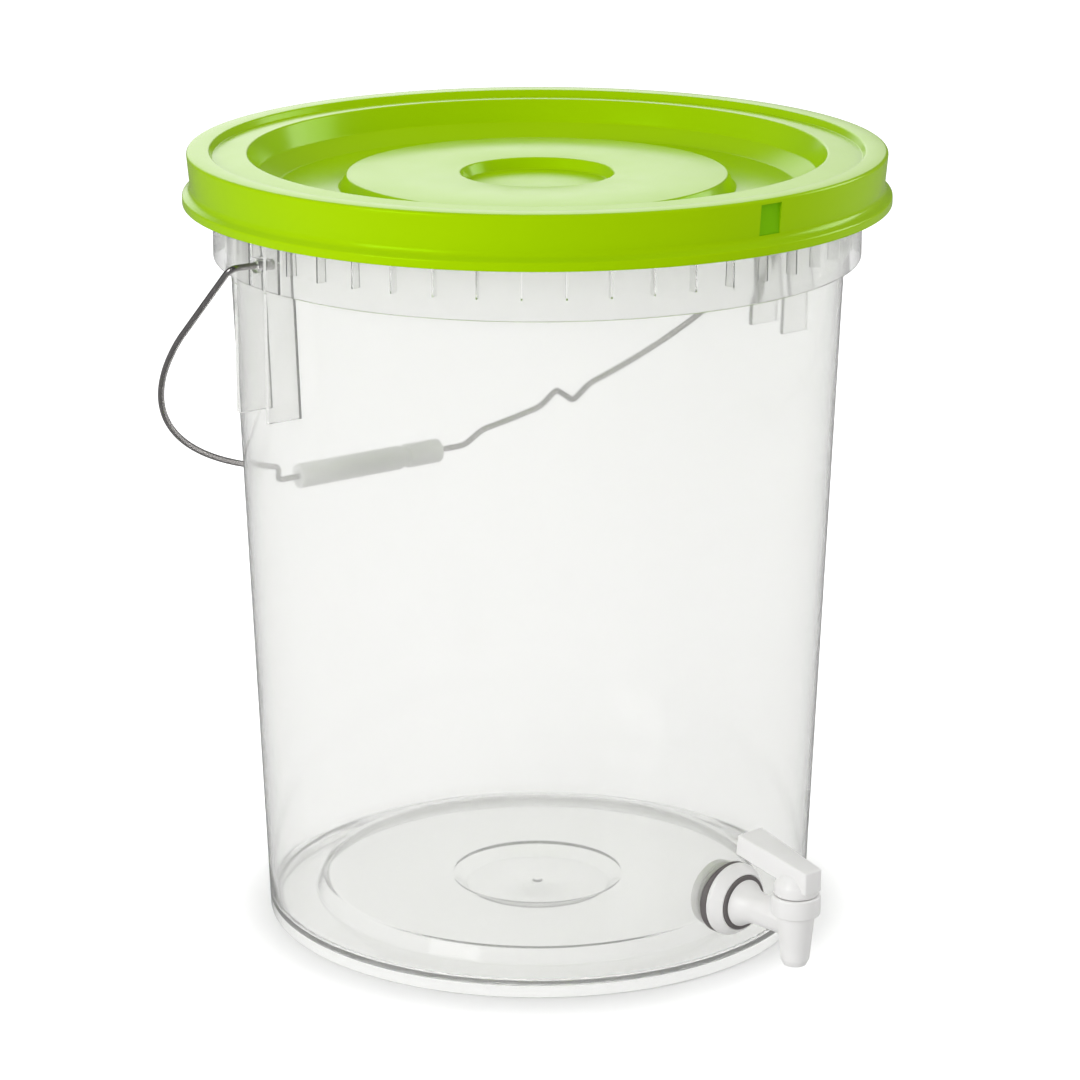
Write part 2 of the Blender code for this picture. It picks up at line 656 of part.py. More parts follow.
def bow_points(widest, narrowest, count):
    """Points along the bow between two widths, widest first."""
    start = math.acos(widest / BAIL_HALF_WIDTH)
    end = math.acos(narrowest / BAIL_HALF_WIDTH)
    widths = [
        BAIL_HALF_WIDTH * math.cos(start + (end - start) * step / count)
        for step in range(count + 1)
    ]
    return [Vector((width, bow(width), 0)) for width in widths]


def bail_side(kinked):
    """One half of the wire, from its head in the ear to the straight run that holds the grip."""
    corners = [
        Vector((WIRE_HEAD_END + WIRE_HEAD_LENGTH, 0, 0)),
        Vector((BAIL_EAR_HALF_WIDTH, 0, 0)),
        Vector((BAIL_HALF_WIDTH, BAIL_LEG_REACH, 0)),
    ]
    step_start = GRIP_STEP_HALF_WIDTH + GRIP_STEP_RUN
    if kinked:
        outer = KINK_SECOND_WIDTH + KINK_SHOULDER
        inner = KINK_FIRST_WIDTH - KINK_SHOULDER
        corners += bow_points(BAIL_HALF_WIDTH, outer, BOW_STEPS)[1:]
        corners += [
            Vector((KINK_SECOND_WIDTH, bow(KINK_SECOND_WIDTH) + KINK_SIZE, 0)),
            Vector((KINK_FIRST_WIDTH, bow(KINK_FIRST_WIDTH) - KINK_SIZE, 0)),
        ]
        corners += bow_points(inner, step_start, BOW_STEPS // 3)
    else:
        corners += bow_points(BAIL_HALF_WIDTH, step_start, BOW_STEPS + BOW_STEPS // 2)[1:]
    corners += [
        Vector((GRIP_STEP_HALF_WIDTH, BAIL_REACH, 0)),
        Vector((0, BAIL_REACH, 0)),
    ]
    return rounded(corners, WIRE_BEND)


def make_bail_wire():
    """The bent wire: a round bar along its path, with an upset head in each ear."""
    right = bail_side(kinked=True)
    left = [Vector((-point.x, point.y, 0)) for point in bail_side(kinked=False)]
    path = right + left[::-1][1:]
    head = WIRE_HEAD_RADIUS / WIRE_RADIUS
    ends = []
    for side in (1, -1):
        inner = Vector((side * WIRE_HEAD_END, 0, 0))
        outer = Vector((side * (WIRE_HEAD_END + WIRE_HEAD_LENGTH - GAP), 0, 0))
        ends.append([(inner, head), (outer, head)])
    stations = ends[0] + [(point, 1.0) for point in path] + ends[1][::-1]
    curve = bpy.data.curves.new("bail_wire", "CURVE")
    curve.dimensions = "3D"
    curve.bevel_depth = WIRE_RADIUS
    curve.bevel_resolution = 1
    curve.use_fill_caps = True
    spline = curve.splines.new("POLY")
    spline.points.add(len(stations) - 1)
    for point, (place, scale) in zip(spline.points, stations):
        point.co = (*place, 1)
        point.radius = scale
    curve.materials.append(WIRE)
    made = bpy.data.objects.new("bail_wire", curve)
    bpy.context.scene.collection.objects.link(made)
    made.parent = BAIL_HINGE


def make_bail_grip():
    """The grip, a tube on the straight run of the wire, with a notch near one end."""
    notch_low = GRIP_NOTCH_PLACE - GRIP_NOTCH_WIDTH / 2
    notch_high = GRIP_NOTCH_PLACE + GRIP_NOTCH_WIDTH / 2
    narrow = GRIP_RADIUS - GRIP_NOTCH_DEPTH
    slope = GRIP_NOTCH_DEPTH
    outline = [
        (GRIP_BORE_RADIUS, -GRIP_LEFT),
        (GRIP_RADIUS - GRIP_END_ROUND, -GRIP_LEFT),
        (GRIP_RADIUS, -GRIP_LEFT + GRIP_END_ROUND),
        (GRIP_RADIUS, notch_low),
        (narrow, notch_low + slope),
        (narrow, notch_high - slope),
        (GRIP_RADIUS, notch_high),
        (GRIP_RADIUS, GRIP_RIGHT - GRIP_END_ROUND),
        (GRIP_RADIUS - GRIP_END_ROUND, GRIP_RIGHT),
        (GRIP_BORE_RADIUS, GRIP_RIGHT),
    ]
    mesh = turned_mesh("bail_grip", outline, SMALL_STEPS)
    add_object("bail_grip", mesh, GRIP_WHITE, GRIP_AXIS)


def washer_cutters():
    """Two shapes with a gap to the wall, one inwards from it and one outwards, for the washers."""
    widest = max(FLANGE_RADIUS, NUT_RADIUS)
    low = TAP_HEIGHT - widest - OVERRUN
    high = TAP_HEIGHT + widest + OVERRUN
    core = [
        (0, high),
        (wall_outside(high) + GAP, high),
        (wall_outside(low) + GAP, low),
        (0, low),
    ]
    shell = [
        (wall_inside(high) - GAP, high),
        (TAP_CENTRE, high),
        (TAP_CENTRE, low),
        (wall_inside(low) - GAP, low),
    ]
    return (
        helper("wall_core", turned_mesh("wall_core", core, ROUND_STEPS), STAND),
        helper("wall_shell", turned_mesh("wall_shell", shell, ROUND_STEPS), STAND),
    )


def ring(name, inner, outer, back, front, surface, parent, edge=0.0):
    """A flat ring about its parent's Z axis, with an optional bevel on its outer edges."""
    outline = [(inner, front), (outer - edge, front)]
    if edge:
        outline.append((outer, front - edge))
        outline.append((outer, back + edge))
    outline += [(outer - edge, back), (inner, back)]
    return add_object(name, turned_mesh(name, outline, SMALL_STEPS), surface, parent)


def make_tap_fixings():
    """The washers each side of the wall, the nut inside and the seal at the neck."""
    wall_core, wall_shell = washer_cutters()
    bore = SHANK_RADIUS + GAP
    back = TAP_WALL - wall_fall(FLANGE_RADIUS) - GAP
    front = TAP_WALL_INSIDE + wall_rise(NUT_RADIUS) + GAP
    outer = ring(
        "washer_outer", bore, FLANGE_RADIUS, back, OUTER_WASHER_FACE, RUBBER, SHANK_AXIS
    )
    inner = ring(
        "washer_inner", bore, NUT_RADIUS, INNER_WASHER_FACE, front, PALE_RUBBER, SHANK_AXIS
    )
    boolean(outer, wall_core, "DIFFERENCE")
    boolean(inner, wall_shell, "DIFFERENCE")
    ring(
        "lock_nut",
        bore,
        NUT_RADIUS,
        NUT_FACE - NUT_THICKNESS,
        NUT_FACE,
        TAP_WHITE,
        SHANK_AXIS,
        NUT_EDGE,
    )
    ring("stem_seal", TAIL_RADIUS + GAP, SEAL_RADIUS, SEAL_BACK, SEAL_FRONT, RUBBER, SHANK_AXIS)


def make_tap_flange():
    """The flange and its hollow shank, with a seat for the seal and a socket for the tail."""
    socket = TAIL_RADIUS + GAP
    socket_end = TAIL_END - GAP
    outline = [
        (WATER_BORE_RADIUS, SHANK_END),
        (WATER_BORE_RADIUS, socket_end),
        (socket, socket_end),
        (socket, FLANGE_FRONT - SEAL_SEAT_DEPTH),
        (SEAL_SEAT_RADIUS, FLANGE_FRONT - SEAL_SEAT_DEPTH),
        (SEAL_SEAT_RADIUS, FLANGE_FRONT),
        (FLANGE_FRONT_RADIUS, FLANGE_FRONT),
        (FLANGE_RADIUS, FLANGE_BACK + FLANGE_EDGE),
        (FLANGE_RADIUS, FLANGE_BACK),
        (SHANK_RADIUS, FLANGE_BACK),
        (SHANK_RADIUS, SHANK_END),
    ]
    mesh = turned_mesh("tap_flange", outline, SMALL_STEPS)
    add_object("tap_flange", mesh, TAP_WHITE, SHANK_AXIS)


def neck_outline():
    """The neck's outside, from the tail's end through the flare into the barrel."""
    flare = [
        (
            NECK_RADIUS + (NECK_ROOT_RADIUS - NECK_RADIUS) * (1 - step / NECK_FLARE_STEPS) ** 2,
            NECK_BACK + NECK_FLARE_LENGTH * step / NECK_FLARE_STEPS,
        )
        for step in range(NECK_FLARE_STEPS + 1)
    ]
    end = TAP_CENTRE - NECK_SHORT_OF_CENTRE
    tail = [(0, TAIL_END), (TAIL_RADIUS, TAIL_END), (TAIL_RADIUS, NECK_BACK)]
    return tail + flare + [(NECK_RADIUS, end), (0, end)]


def make_tap_body():
    """The neck, the barrel with its cap ring, and the spout, with the bores cut through."""
    mesh = turned_mesh("tap_body", neck_outline(), SMALL_STEPS)
    body = add_object("tap_body", mesh, TAP_WHITE, SHANK_AXIS)
    barrel = [
        (0, SPOUT_TIP_HEIGHT),
        (SPOUT_TIP_RADIUS, SPOUT_TIP_HEIGHT),
        (SPOUT_LOW_RADIUS, SPOUT_TIP_HEIGHT + SPOUT_CHAMFER),
        (BARREL_RADIUS, CAP_RING_BOTTOM),
        (CAP_RING_RADIUS - CAP_RING_EDGE, CAP_RING_BOTTOM),
        (CAP_RING_RADIUS, CAP_RING_BOTTOM + CAP_RING_EDGE),
        (CAP_RING_RADIUS, CAP_RING_TOP - CAP_RING_EDGE),
        (CAP_RING_RADIUS - CAP_RING_EDGE, CAP_RING_TOP),
        (0, CAP_RING_TOP),
    ]
    shape = helper("barrel_shape", turned_mesh("barrel_shape", barrel, SMALL_STEPS), PLUG_AXIS)
    boolean(body, shape, "UNION")
    bm = bmesh.new()
    start = TAIL_END - OVERRUN
    rod_into(bm, (0, 0, start), (0, 0, 1), TAP_CENTRE - start, WATER_BORE_RADIUS)
    boolean(body, helper("neck_bore", finish_mesh(bm, "neck_bore"), SHANK_AXIS), "DIFFERENCE")
    step = PLUG_FOOT_HEIGHT - GAP
    bores = [
        (0, SPOUT_TIP_HEIGHT - OVERRUN),
        (SPOUT_BORE_RADIUS, SPOUT_TIP_HEIGHT - OVERRUN),
        (SPOUT_BORE_RADIUS, step),
        (PLUG_BORE_RADIUS, step),
        (PLUG_BORE_RADIUS, CAP_RING_TOP + OVERRUN),
        (0, CAP_RING_TOP + OVERRUN),
    ]
    cutter = helper("barrel_bores", turned_mesh("barrel_bores", bores, SMALL_STEPS), PLUG_AXIS)
    boolean(body, cutter, "DIFFERENCE")


def make_tap_plug():
    """The turning core: two seal grooves, a side port that meets a well open at the foot, a tenon."""
    outline = [(0, PLUG_FOOT_HEIGHT), (PLUG_RADIUS, PLUG_FOOT_HEIGHT)]
    for groove in (LOWER_GROOVE_HEIGHT, UPPER_GROOVE_HEIGHT):
        low = groove - SEAL_GROOVE_WIDTH / 2
        high = groove + SEAL_GROOVE_WIDTH / 2
        outline += [
            (PLUG_RADIUS, low),
            (SEAL_GROOVE_RADIUS, low),
            (SEAL_GROOVE_RADIUS, high),
            (PLUG_RADIUS, high),
        ]
    outline += [
        (PLUG_RADIUS, PLUG_TOP),
        (TENON_RADIUS, PLUG_TOP),
        (TENON_RADIUS, TENON_TOP),
        (0, TENON_TOP),
    ]
    mesh = turned_mesh("tap_plug", outline, SMALL_STEPS)
    plug = add_object("tap_plug", mesh, TAP_WHITE, PLUG_AXIS)
    bm = bmesh.new()
    well = PLUG_FOOT_HEIGHT - OVERRUN
    rod_into(bm, (0, 0, well), (0, 0, 1), PLUG_WELL_TOP - well, PLUG_PORT_RADIUS)
    boolean(plug, helper("plug_well", finish_mesh(bm, "plug_well"), PLUG_AXIS), "DIFFERENCE")
    bm = bmesh.new()
    rod_into(bm, (0, 0, TAP_HEIGHT), (1, 0, 0), PLUG_RADIUS + OVERRUN, PLUG_PORT_RADIUS)
    boolean(plug, helper("plug_port", finish_mesh(bm, "plug_port"), PLUG_AXIS), "DIFFERENCE")


def make_plug_seals():
    """The two sealing rings in the plug's grooves."""
    half = SEAL_GROOVE_WIDTH / 2 - GAP
    for name, height in (
        ("plug_seal_lower", LOWER_GROOVE_HEIGHT),
        ("plug_seal_upper", UPPER_GROOVE_HEIGHT),
    ):
        ring(
            name,
            SEAL_GROOVE_RADIUS + GAP,
            PLUG_RADIUS,
            height - half,
            height + half,
            RUBBER,
            PLUG_AXIS,
        )


def bar_mesh():
    """The handle's bar: wider and higher at its inner end, its sides folded, its edges bevelled."""
    outer = BAR_OUTER_WIDTH / 2
    top = outer + BAR_FLARE
    inner_bottom = BAR_OUTER_BOTTOM + BAR_RISE
    corners = [
        (outer, -BAR_OUTER_END, BAR_OUTER_BOTTOM),
        (top + BAR_FOOT_STEP, BAR_INNER_END, inner_bottom),
        (top, BAR_INNER_END, inner_bottom + BAR_INNER_HEIGHT),
        (outer, -BAR_OUTER_END, BAR_OUTER_BOTTOM + BAR_OUTER_HEIGHT),
    ]
    bm = bmesh.new()
    left, right = (
        [bm.verts.new((side * x, y, z)) for x, y, z in corners] for side in (-1, 1)
    )
    for index in range(len(corners)):
        bm.faces.new([left[index - 1], left[index], right[index], right[index - 1]])
    for side in (left, right):
        bm.faces.new([side[0], side[1], side[3]])
        bm.faces.new([side[1], side[2], side[3]])
    folds = [bm.edges.get((side[1], side[3])) for side in (left, right)]
    outline = [edge for edge in bm.edges if edge not in folds]
    bmesh.ops.recalc_face_normals(bm, faces=bm.faces)
    bmesh.ops.bevel(bm, geom=outline, offset=BAR_EDGE, segments=2, affect="EDGES", profile=0.5)
    return finish_mesh(bm, "bar_shape")


def make_tap_handle():
    """The hub with its bar, which turn the plug by its tenon."""
    socket = TENON_RADIUS + GAP
    socket_top = TENON_TOP + GAP
    outline = [
        (0, HUB_TOP),
        (HUB_RADIUS - HUB_SLOPE_RUN, HUB_TOP),
        (HUB_RADIUS, HUB_TOP - HUB_SLOPE_DROP),
        (HUB_RADIUS, HUB_BOTTOM),
        (0, HUB_BOTTOM),
    ]
    mesh = turned_mesh("tap_handle", outline, SMALL_STEPS)
    handle = add_object("tap_handle", mesh, TAP_WHITE, PLUG_AXIS)
    boolean(handle, helper("bar_shape", bar_mesh(), PLUG_AXIS), "UNION")
    bm = bmesh.new()
    start = HUB_BOTTOM - OVERRUN
    rod_into(bm, (0, 0, start), (0, 0, 1), socket_top - start, socket)
    cutter = helper("tenon_socket", finish_mesh(bm, "tenon_socket"), PLUG_AXIS)
    boolean(handle, cutter, "DIFFERENCE")


def centre_stand():
    """Moves the stand so that the origin is the middle of the whole part's base."""
    bpy.context.view_layer.update()
    graph = bpy.context.evaluated_depsgraph_get()
    corners = []
    for item in bpy.context.scene.objects:
        if item.type in ("MESH", "CURVE") and not item.hide_render:
            shape = item.evaluated_get(graph).to_mesh()
            corners += [item.matrix_world @ vertex.co for vertex in shape.vertices]
    for axis in (0, 1):
        low = min(corner[axis] for corner in corners)
        high = max(corner[axis] for corner in corners)
        STAND.location[axis] = -(low + high) / 2
    bpy.context.view_layer.update()


make_bucket()
make_lid()
make_bail_wire()
make_bail_grip()
make_tap_fixings()
make_tap_flange()
make_tap_body()
make_tap_plug()
make_plug_seals()
make_tap_handle()
centre_stand()
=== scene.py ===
"""The looks of the bucket with tap: finer mouldings, finishes, light and camera."""

import json
import math

import bmesh
import bpy
from mathutils import Matrix, Vector


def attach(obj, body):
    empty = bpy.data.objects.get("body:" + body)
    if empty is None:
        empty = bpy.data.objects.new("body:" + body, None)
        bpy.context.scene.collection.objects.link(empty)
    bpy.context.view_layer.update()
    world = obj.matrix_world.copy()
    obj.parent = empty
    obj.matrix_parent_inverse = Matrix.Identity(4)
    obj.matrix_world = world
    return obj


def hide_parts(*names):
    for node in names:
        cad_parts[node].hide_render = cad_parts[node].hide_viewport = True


MM = 0.001

# Fits, facets and fillets
GAP = 0.3 * MM
OVERRUN = 2.0 * MM
ROUND_STEPS = 192
TUBE_STEPS = 64
FILLET_STEPS = 4
FILLET_SHARE = 0.49
SHARP_ANGLE = math.radians(35)
MERGE_DISTANCE = 0.001 * MM
FINE_EDGE = 0.5 * MM
SOFT_EDGE = 1.2 * MM
ROUND_EDGE = 2.0 * MM
BROAD_EDGE = 3.0 * MM
WAIST_EDGE = 8.0 * MM
TAP_EDGE = 0.6 * MM
WASHER_EDGE = 0.4 * MM
WIRE_ROUNDS = 6

# Details that only the looks have: the gate mark, thin ribs, and the inset on the lid's skirt
GATE_RADIUS = 2.4 * MM
GATE_HEIGHT = 1.0 * MM
SHOWN_RIB_THICKNESS = 0.8 * MM
RING_MARGIN = 2.0 * MM
INSET_WIDTH = 12.0 * MM
INSET_HEIGHT = 14.0 * MM
INSET_BELOW_TOP = 2.2 * MM
INSET_DEPTH = 0.3 * MM
INSET_REACH = 3.0 * MM
INSET_TURN = math.radians(-87.3)

# Bucket wall and foot
BASE_RADIUS = 132.4 * MM
SHOULDER_RADIUS = 145.5 * MM
WALL_THICKNESS = 2.0 * MM
FOOT_THICKNESS = 2.6 * MM

# Bucket floor, on its upper side: a gutter, a raised plateau that falls to a sink, and its disc
FLOOR_THICKNESS = 2.0 * MM
FLOOR_HEIGHT = 7.5 * MM
FLOOR_CORNER = 4.0 * MM
GUTTER_WIDTH = 21.2 * MM
PLATEAU_RISE = 8.0 * MM
PLATEAU_SLOPE_RUN = 3.5 * MM
PLATEAU_FALL = 3.0 * MM
SINK_RADIUS = 42.0 * MM
SINK_RUN = 6.8 * MM
SINK_DEPTH = 5.0 * MM

# Collar below the lid, hung from a web that stands out from the wall
WEB_BELOW_RIM = 14.5 * MM
WEB_THICKNESS = 2.0 * MM
COLLAR_STEP = 7.8 * MM
COLLAR_THICKNESS = 1.8 * MM
COLLAR_HEIGHT = 30.1 * MM
RIB_COUNT = 48
RIB_PHASE = math.radians(-1.1)
RIB_HEIGHT = 20.7 * MM

# Rim that the lid snaps over
RIM_LIP_STEP = 6.7 * MM
RIM_THICKNESS = 2.2 * MM
RIM_LIP_DEPTH = 7.0 * MM

# Ears: two fins each, a tab that joins them and a boss that holds the wire
FIN_THICKNESS = 2.5 * MM
FIN_SPACING = 25.0 * MM
FIN_LENGTH = 88.5 * MM
TAB_INSET = 0.3 * MM
BOSS_WALL = 1.7 * MM
BOSS_INSET = 2.5 * MM
EAR_BELOW_WEB = 17.8 * MM

# Lid, on its upper side, from the skirt inwards
LID_HEIGHT = 377.4 * MM
LID_THICKNESS = 1.9 * MM
LID_SKIRT_DEPTH = 24.6 * MM
LID_LIP_STEP = 3.9 * MM
LID_LIP_DEPTH = 4.5 * MM
LID_TOP_STEP = 1.6 * MM
LID_EDGE_ROUND = 1.5 * MM
LID_RIM_WIDTH = 10.7 * MM
LID_GROOVE_DEPTH = 3.2 * MM
LID_GROOVE_RUN = 1.5 * MM
LID_SHELF_WIDTH = 17.8 * MM
LID_SHELF_DEPTH = 1.6 * MM
LID_WELL_DEPTH = 19.1 * MM
LID_WELL_UPPER_RUN = 4.0 * MM
LID_WELL_LOWER_RUN = 9.4 * MM
LID_WELL_LOWER_RISE = 6.5 * MM
LID_WELL_FLOOR_WIDTH = 29.5 * MM
LID_DISC_RISE = 6.5 * MM
LID_DISC_RUN = 3.6 * MM
LID_RECESS_RADIUS = 36.3 * MM
LID_RECESS_DEPTH = 5.3 * MM
LID_RECESS_RUN = 2.0 * MM

# Lid, on its lower side
SNAP_BEAD = 0.9 * MM
SNAP_BEAD_HEIGHT = 4.0 * MM
SNAP_CLEARANCE = 0.6 * MM
PLUG_RING_DEPTH = 8.0 * MM
PLUG_RING_CLEARANCE = 0.6 * MM

# Bail wire, in its own plane: width along the hinge, reach away from it
WIRE_RADIUS = 1.5 * MM
WIRE_CLEARANCE = 0.4 * MM
WIRE_HEAD_STEP = 1.1 * MM
WIRE_HEAD_LENGTH = 2.0 * MM
WIRE_HEAD_PLAY = 1.7 * MM
BAIL_LID_CLEARANCE = 1.7 * MM
BAIL_SPREAD = 4.5 * MM
BAIL_LEG_REACH = 55.0 * MM
BAIL_REACH = 209.0 * MM
BAIL_BOW_DROP = 3.4 * MM
GRIP_PLAY = 13.0 * MM
GRIP_STEP_RUN = 5.0 * MM
KINK_FIRST_WIDTH = 97.0 * MM
KINK_LENGTH = 19.0 * MM
KINK_SIZE = 14.0 * MM
KINK_SHOULDER = 2.5 * MM
WIRE_BEND = 4.0 * MM
BEND_SHARE = 0.45
BEND_STEPS = 6
BOW_STEPS = 14
BOW_INNER_STEPS = 4
BOW_LONG_STEPS = 21

# Grip
GRIP_RADIUS = 6.25 * MM
GRIP_CLEARANCE = 0.5 * MM
GRIP_LEFT = 46.0 * MM
GRIP_RIGHT = 42.0 * MM
GRIP_NOTCH_PLACE = 19.5 * MM
GRIP_NOTCH_WIDTH = 5.0 * MM
GRIP_NOTCH_DEPTH = 1.0 * MM
GRIP_END_ROUND = 0.8 * MM

# Tap, shank side: places along the tap's own level axis
TAP_TURN = math.radians(6)
TAP_HEIGHT = 38.0 * MM
SHANK_RADIUS = 9.5 * MM
SHANK_CLEARANCE = 0.5 * MM
SHANK_END_BEYOND_NUT = 2.3 * MM
WATER_BORE_RADIUS = 4.5 * MM
OUTER_WASHER_LEAST = 1.8 * MM
INNER_WASHER_LEAST = 1.7 * MM
NUT_RADIUS = 15.9 * MM
NUT_THICKNESS = 4.5 * MM
NUT_EDGE = 0.8 * MM
FLANGE_THICKNESS = 7.4 * MM
FLANGE_EDGE = 2.5 * MM
FLANGE_SLOPE_RUN = 3.5 * MM
SEAL_RADIUS = 13.0 * MM
SEAL_THICKNESS = 3.5 * MM
SEAL_SEAT_DEPTH = 3.0 * MM
SEAL_SEAT_WALL = 0.6 * MM
TAIL_RADIUS = 6.8 * MM
TAIL_LENGTH = 9.0 * MM
NECK_ROOT_RADIUS = 11.2 * MM
NECK_RADIUS = 7.4 * MM
NECK_FLARE_LENGTH = 11.0 * MM
NECK_FLARE_STEPS = 18
NECK_SHORT_OF_CENTRE = 1.3 * MM

# Tap, barrel side: rises and drops from the shank's axis
TAP_REACH = 44.5 * MM
BARREL_RADIUS = 8.9 * MM
CAP_RING_STEP = 2.5 * MM
CAP_RING_RISE = 4.9 * MM
CAP_RING_HEIGHT = 9.4 * MM
CAP_RING_EDGE = 0.8 * MM
SPOUT_LOW_RADIUS = 6.7 * MM
SPOUT_TIP_STEP = 1.5 * MM
SPOUT_DROP = 20.3 * MM
SPOUT_CHAMFER = 3.0 * MM
SPOUT_BORE_RADIUS = 4.2 * MM

# Tap plug and its seals
PLUG_RADIUS = 6.3 * MM
PLUG_FOOT_DROP = 10.2 * MM
TENON_RADIUS = 4.0 * MM

# Tap handle: the bar rises and widens from its outer end towards the bucket
HUB_RADIUS = 10.2 * MM
HUB_HEIGHT = 10.4 * MM
HUB_SLOPE_RUN = 3.4 * MM
HUB_SLOPE_DROP = 5.5 * MM
HUB_ROOF = 1.2 * MM
BAR_OUTER_WIDTH = 10.7 * MM
BAR_FLARE = 2.4 * MM
BAR_FOOT_STEP = 1.2 * MM
BAR_OVERHANG = 0.8 * MM
BAR_INNER_END = 31.0 * MM
BAR_SINK = 7.7 * MM
BAR_OUTER_HEIGHT = 11.0 * MM
BAR_RISE = 10.0 * MM
BAR_INNER_HEIGHT = 9.5 * MM
BAR_EDGE = 0.9 * MM
BAR_EDGE_STEPS = 4

# Heights of the bucket, worked out down from the lid's top
RIM_HEIGHT = LID_HEIGHT - LID_GROOVE_DEPTH - LID_THICKNESS - GAP
WEB_HEIGHT = RIM_HEIGHT - WEB_BELOW_RIM
SHOULDER_HEIGHT = WEB_HEIGHT - COLLAR_HEIGHT
RIB_BOTTOM_HEIGHT = WEB_HEIGHT - RIB_HEIGHT
FIN_BOTTOM_HEIGHT = WEB_HEIGHT - FIN_LENGTH
EAR_HEIGHT = WEB_HEIGHT - EAR_BELOW_WEB
LIP_BOTTOM_HEIGHT = LID_HEIGHT - LID_SKIRT_DEPTH
TAPER = (SHOULDER_RADIUS - BASE_RADIUS) / SHOULDER_HEIGHT


def wall_outside(height):
    """The wall's outer radius at a height."""
    return BASE_RADIUS + TAPER * height


def wall_inside(height):
    """The wall's inner radius at a height."""
    return wall_outside(height) - WALL_THICKNESS


# Bucket floor, worked out in from the wall
GUTTER_RADIUS = wall_inside(FLOOR_HEIGHT) - GUTTER_WIDTH
PLATEAU_RADIUS = GUTTER_RADIUS - PLATEAU_SLOPE_RUN
PLATEAU_HEIGHT = FLOOR_HEIGHT + PLATEAU_RISE
SINK_RIM_HEIGHT = PLATEAU_HEIGHT - PLATEAU_FALL
DISC_RADIUS = SINK_RADIUS - SINK_RUN
DISC_HEIGHT = SINK_RIM_HEIGHT - SINK_DEPTH

# Collar, rim and ears, worked out from the wall
COLLAR_RADIUS = SHOULDER_RADIUS + COLLAR_STEP
COLLAR_INNER_RADIUS = COLLAR_RADIUS - COLLAR_THICKNESS
RIM_LIP_RADIUS = COLLAR_RADIUS + RIM_LIP_STEP
FIN_REACH = RIM_LIP_RADIUS
WIRE_HOLE_RADIUS = WIRE_RADIUS + WIRE_CLEARANCE
BOSS_RADIUS = WIRE_HOLE_RADIUS + BOSS_WALL
BOSS_REACH = FIN_REACH - BOSS_INSET

# Lid, worked out from the rim that it grips
SNAP_RADIUS = RIM_LIP_RADIUS + SNAP_CLEARANCE
SKIRT_INNER_RADIUS = SNAP_RADIUS + SNAP_BEAD
LID_WAIST_RADIUS = SKIRT_INNER_RADIUS + LID_THICKNESS
LID_RADIUS = LID_WAIST_RADIUS + LID_TOP_STEP
LID_LIP_RADIUS = LID_WAIST_RADIUS + LID_LIP_STEP
LID_RIM_INNER_RADIUS = LID_RADIUS - LID_RIM_WIDTH
LID_WELL_RADIUS = LID_RIM_INNER_RADIUS - LID_SHELF_WIDTH
LID_WELL_MID_RADIUS = LID_WELL_RADIUS - LID_WELL_UPPER_RUN
LID_WELL_FLOOR_RADIUS = LID_WELL_MID_RADIUS - LID_WELL_LOWER_RUN
LID_DISC_FOOT_RADIUS = LID_WELL_FLOOR_RADIUS - LID_WELL_FLOOR_WIDTH
LID_DISC_RADIUS = LID_DISC_FOOT_RADIUS - LID_DISC_RUN
PLUG_RING_RADIUS = wall_inside(RIM_HEIGHT) - PLUG_RING_CLEARANCE

# Bail, worked out from the ears, the lid that it clears and the wall that it rests on
WIRE_HEAD_RADIUS = WIRE_RADIUS + WIRE_HEAD_STEP
WIRE_HEAD_END = COLLAR_INNER_RADIUS - WIRE_HEAD_PLAY - WIRE_HEAD_LENGTH
BAIL_EAR_HALF_WIDTH = LID_LIP_RADIUS + BAIL_LID_CLEARANCE + WIRE_RADIUS
BAIL_HALF_WIDTH = BAIL_EAR_HALF_WIDTH + BAIL_SPREAD
BAIL_BOW_REACH = BAIL_REACH - BAIL_BOW_DROP - BAIL_LEG_REACH
GRIP_STEP_HALF_WIDTH = GRIP_LEFT + GRIP_PLAY
KINK_SECOND_WIDTH = KINK_FIRST_WIDTH + KINK_LENGTH
GRIP_BORE_RADIUS = WIRE_RADIUS + GRIP_CLEARANCE
BAIL_CONTACT = wall_outside(EAR_HEIGHT) + GRIP_RADIUS * math.hypot(1, TAPER) + GAP
BAIL_REST_ANGLE = math.atan2(TAPER, 1) + math.acos(
    BAIL_CONTACT / (BAIL_REACH * math.hypot(1, TAPER))
)

# Tap, worked out along its level axis from the wall
TAP_WALL = wall_outside(TAP_HEIGHT)
TAP_WALL_INSIDE = wall_inside(TAP_HEIGHT)
TAP_CENTRE = TAP_WALL + TAP_REACH
SEAL_SEAT_RADIUS = SEAL_RADIUS + GAP
FLANGE_FRONT_RADIUS = SEAL_SEAT_RADIUS + SEAL_SEAT_WALL
FLANGE_RADIUS = FLANGE_FRONT_RADIUS + FLANGE_SLOPE_RUN


def wall_rise(radius):
    """How far the sloping wall comes forward within a radius of the tap's axis."""
    return abs(TAPER) * radius


def wall_fall(radius):
    """How far the round, sloping wall falls back within a radius of the tap's axis."""
    return radius**2 / (2 * TAP_WALL_INSIDE) + TAPER**2 * TAP_WALL_INSIDE / 2


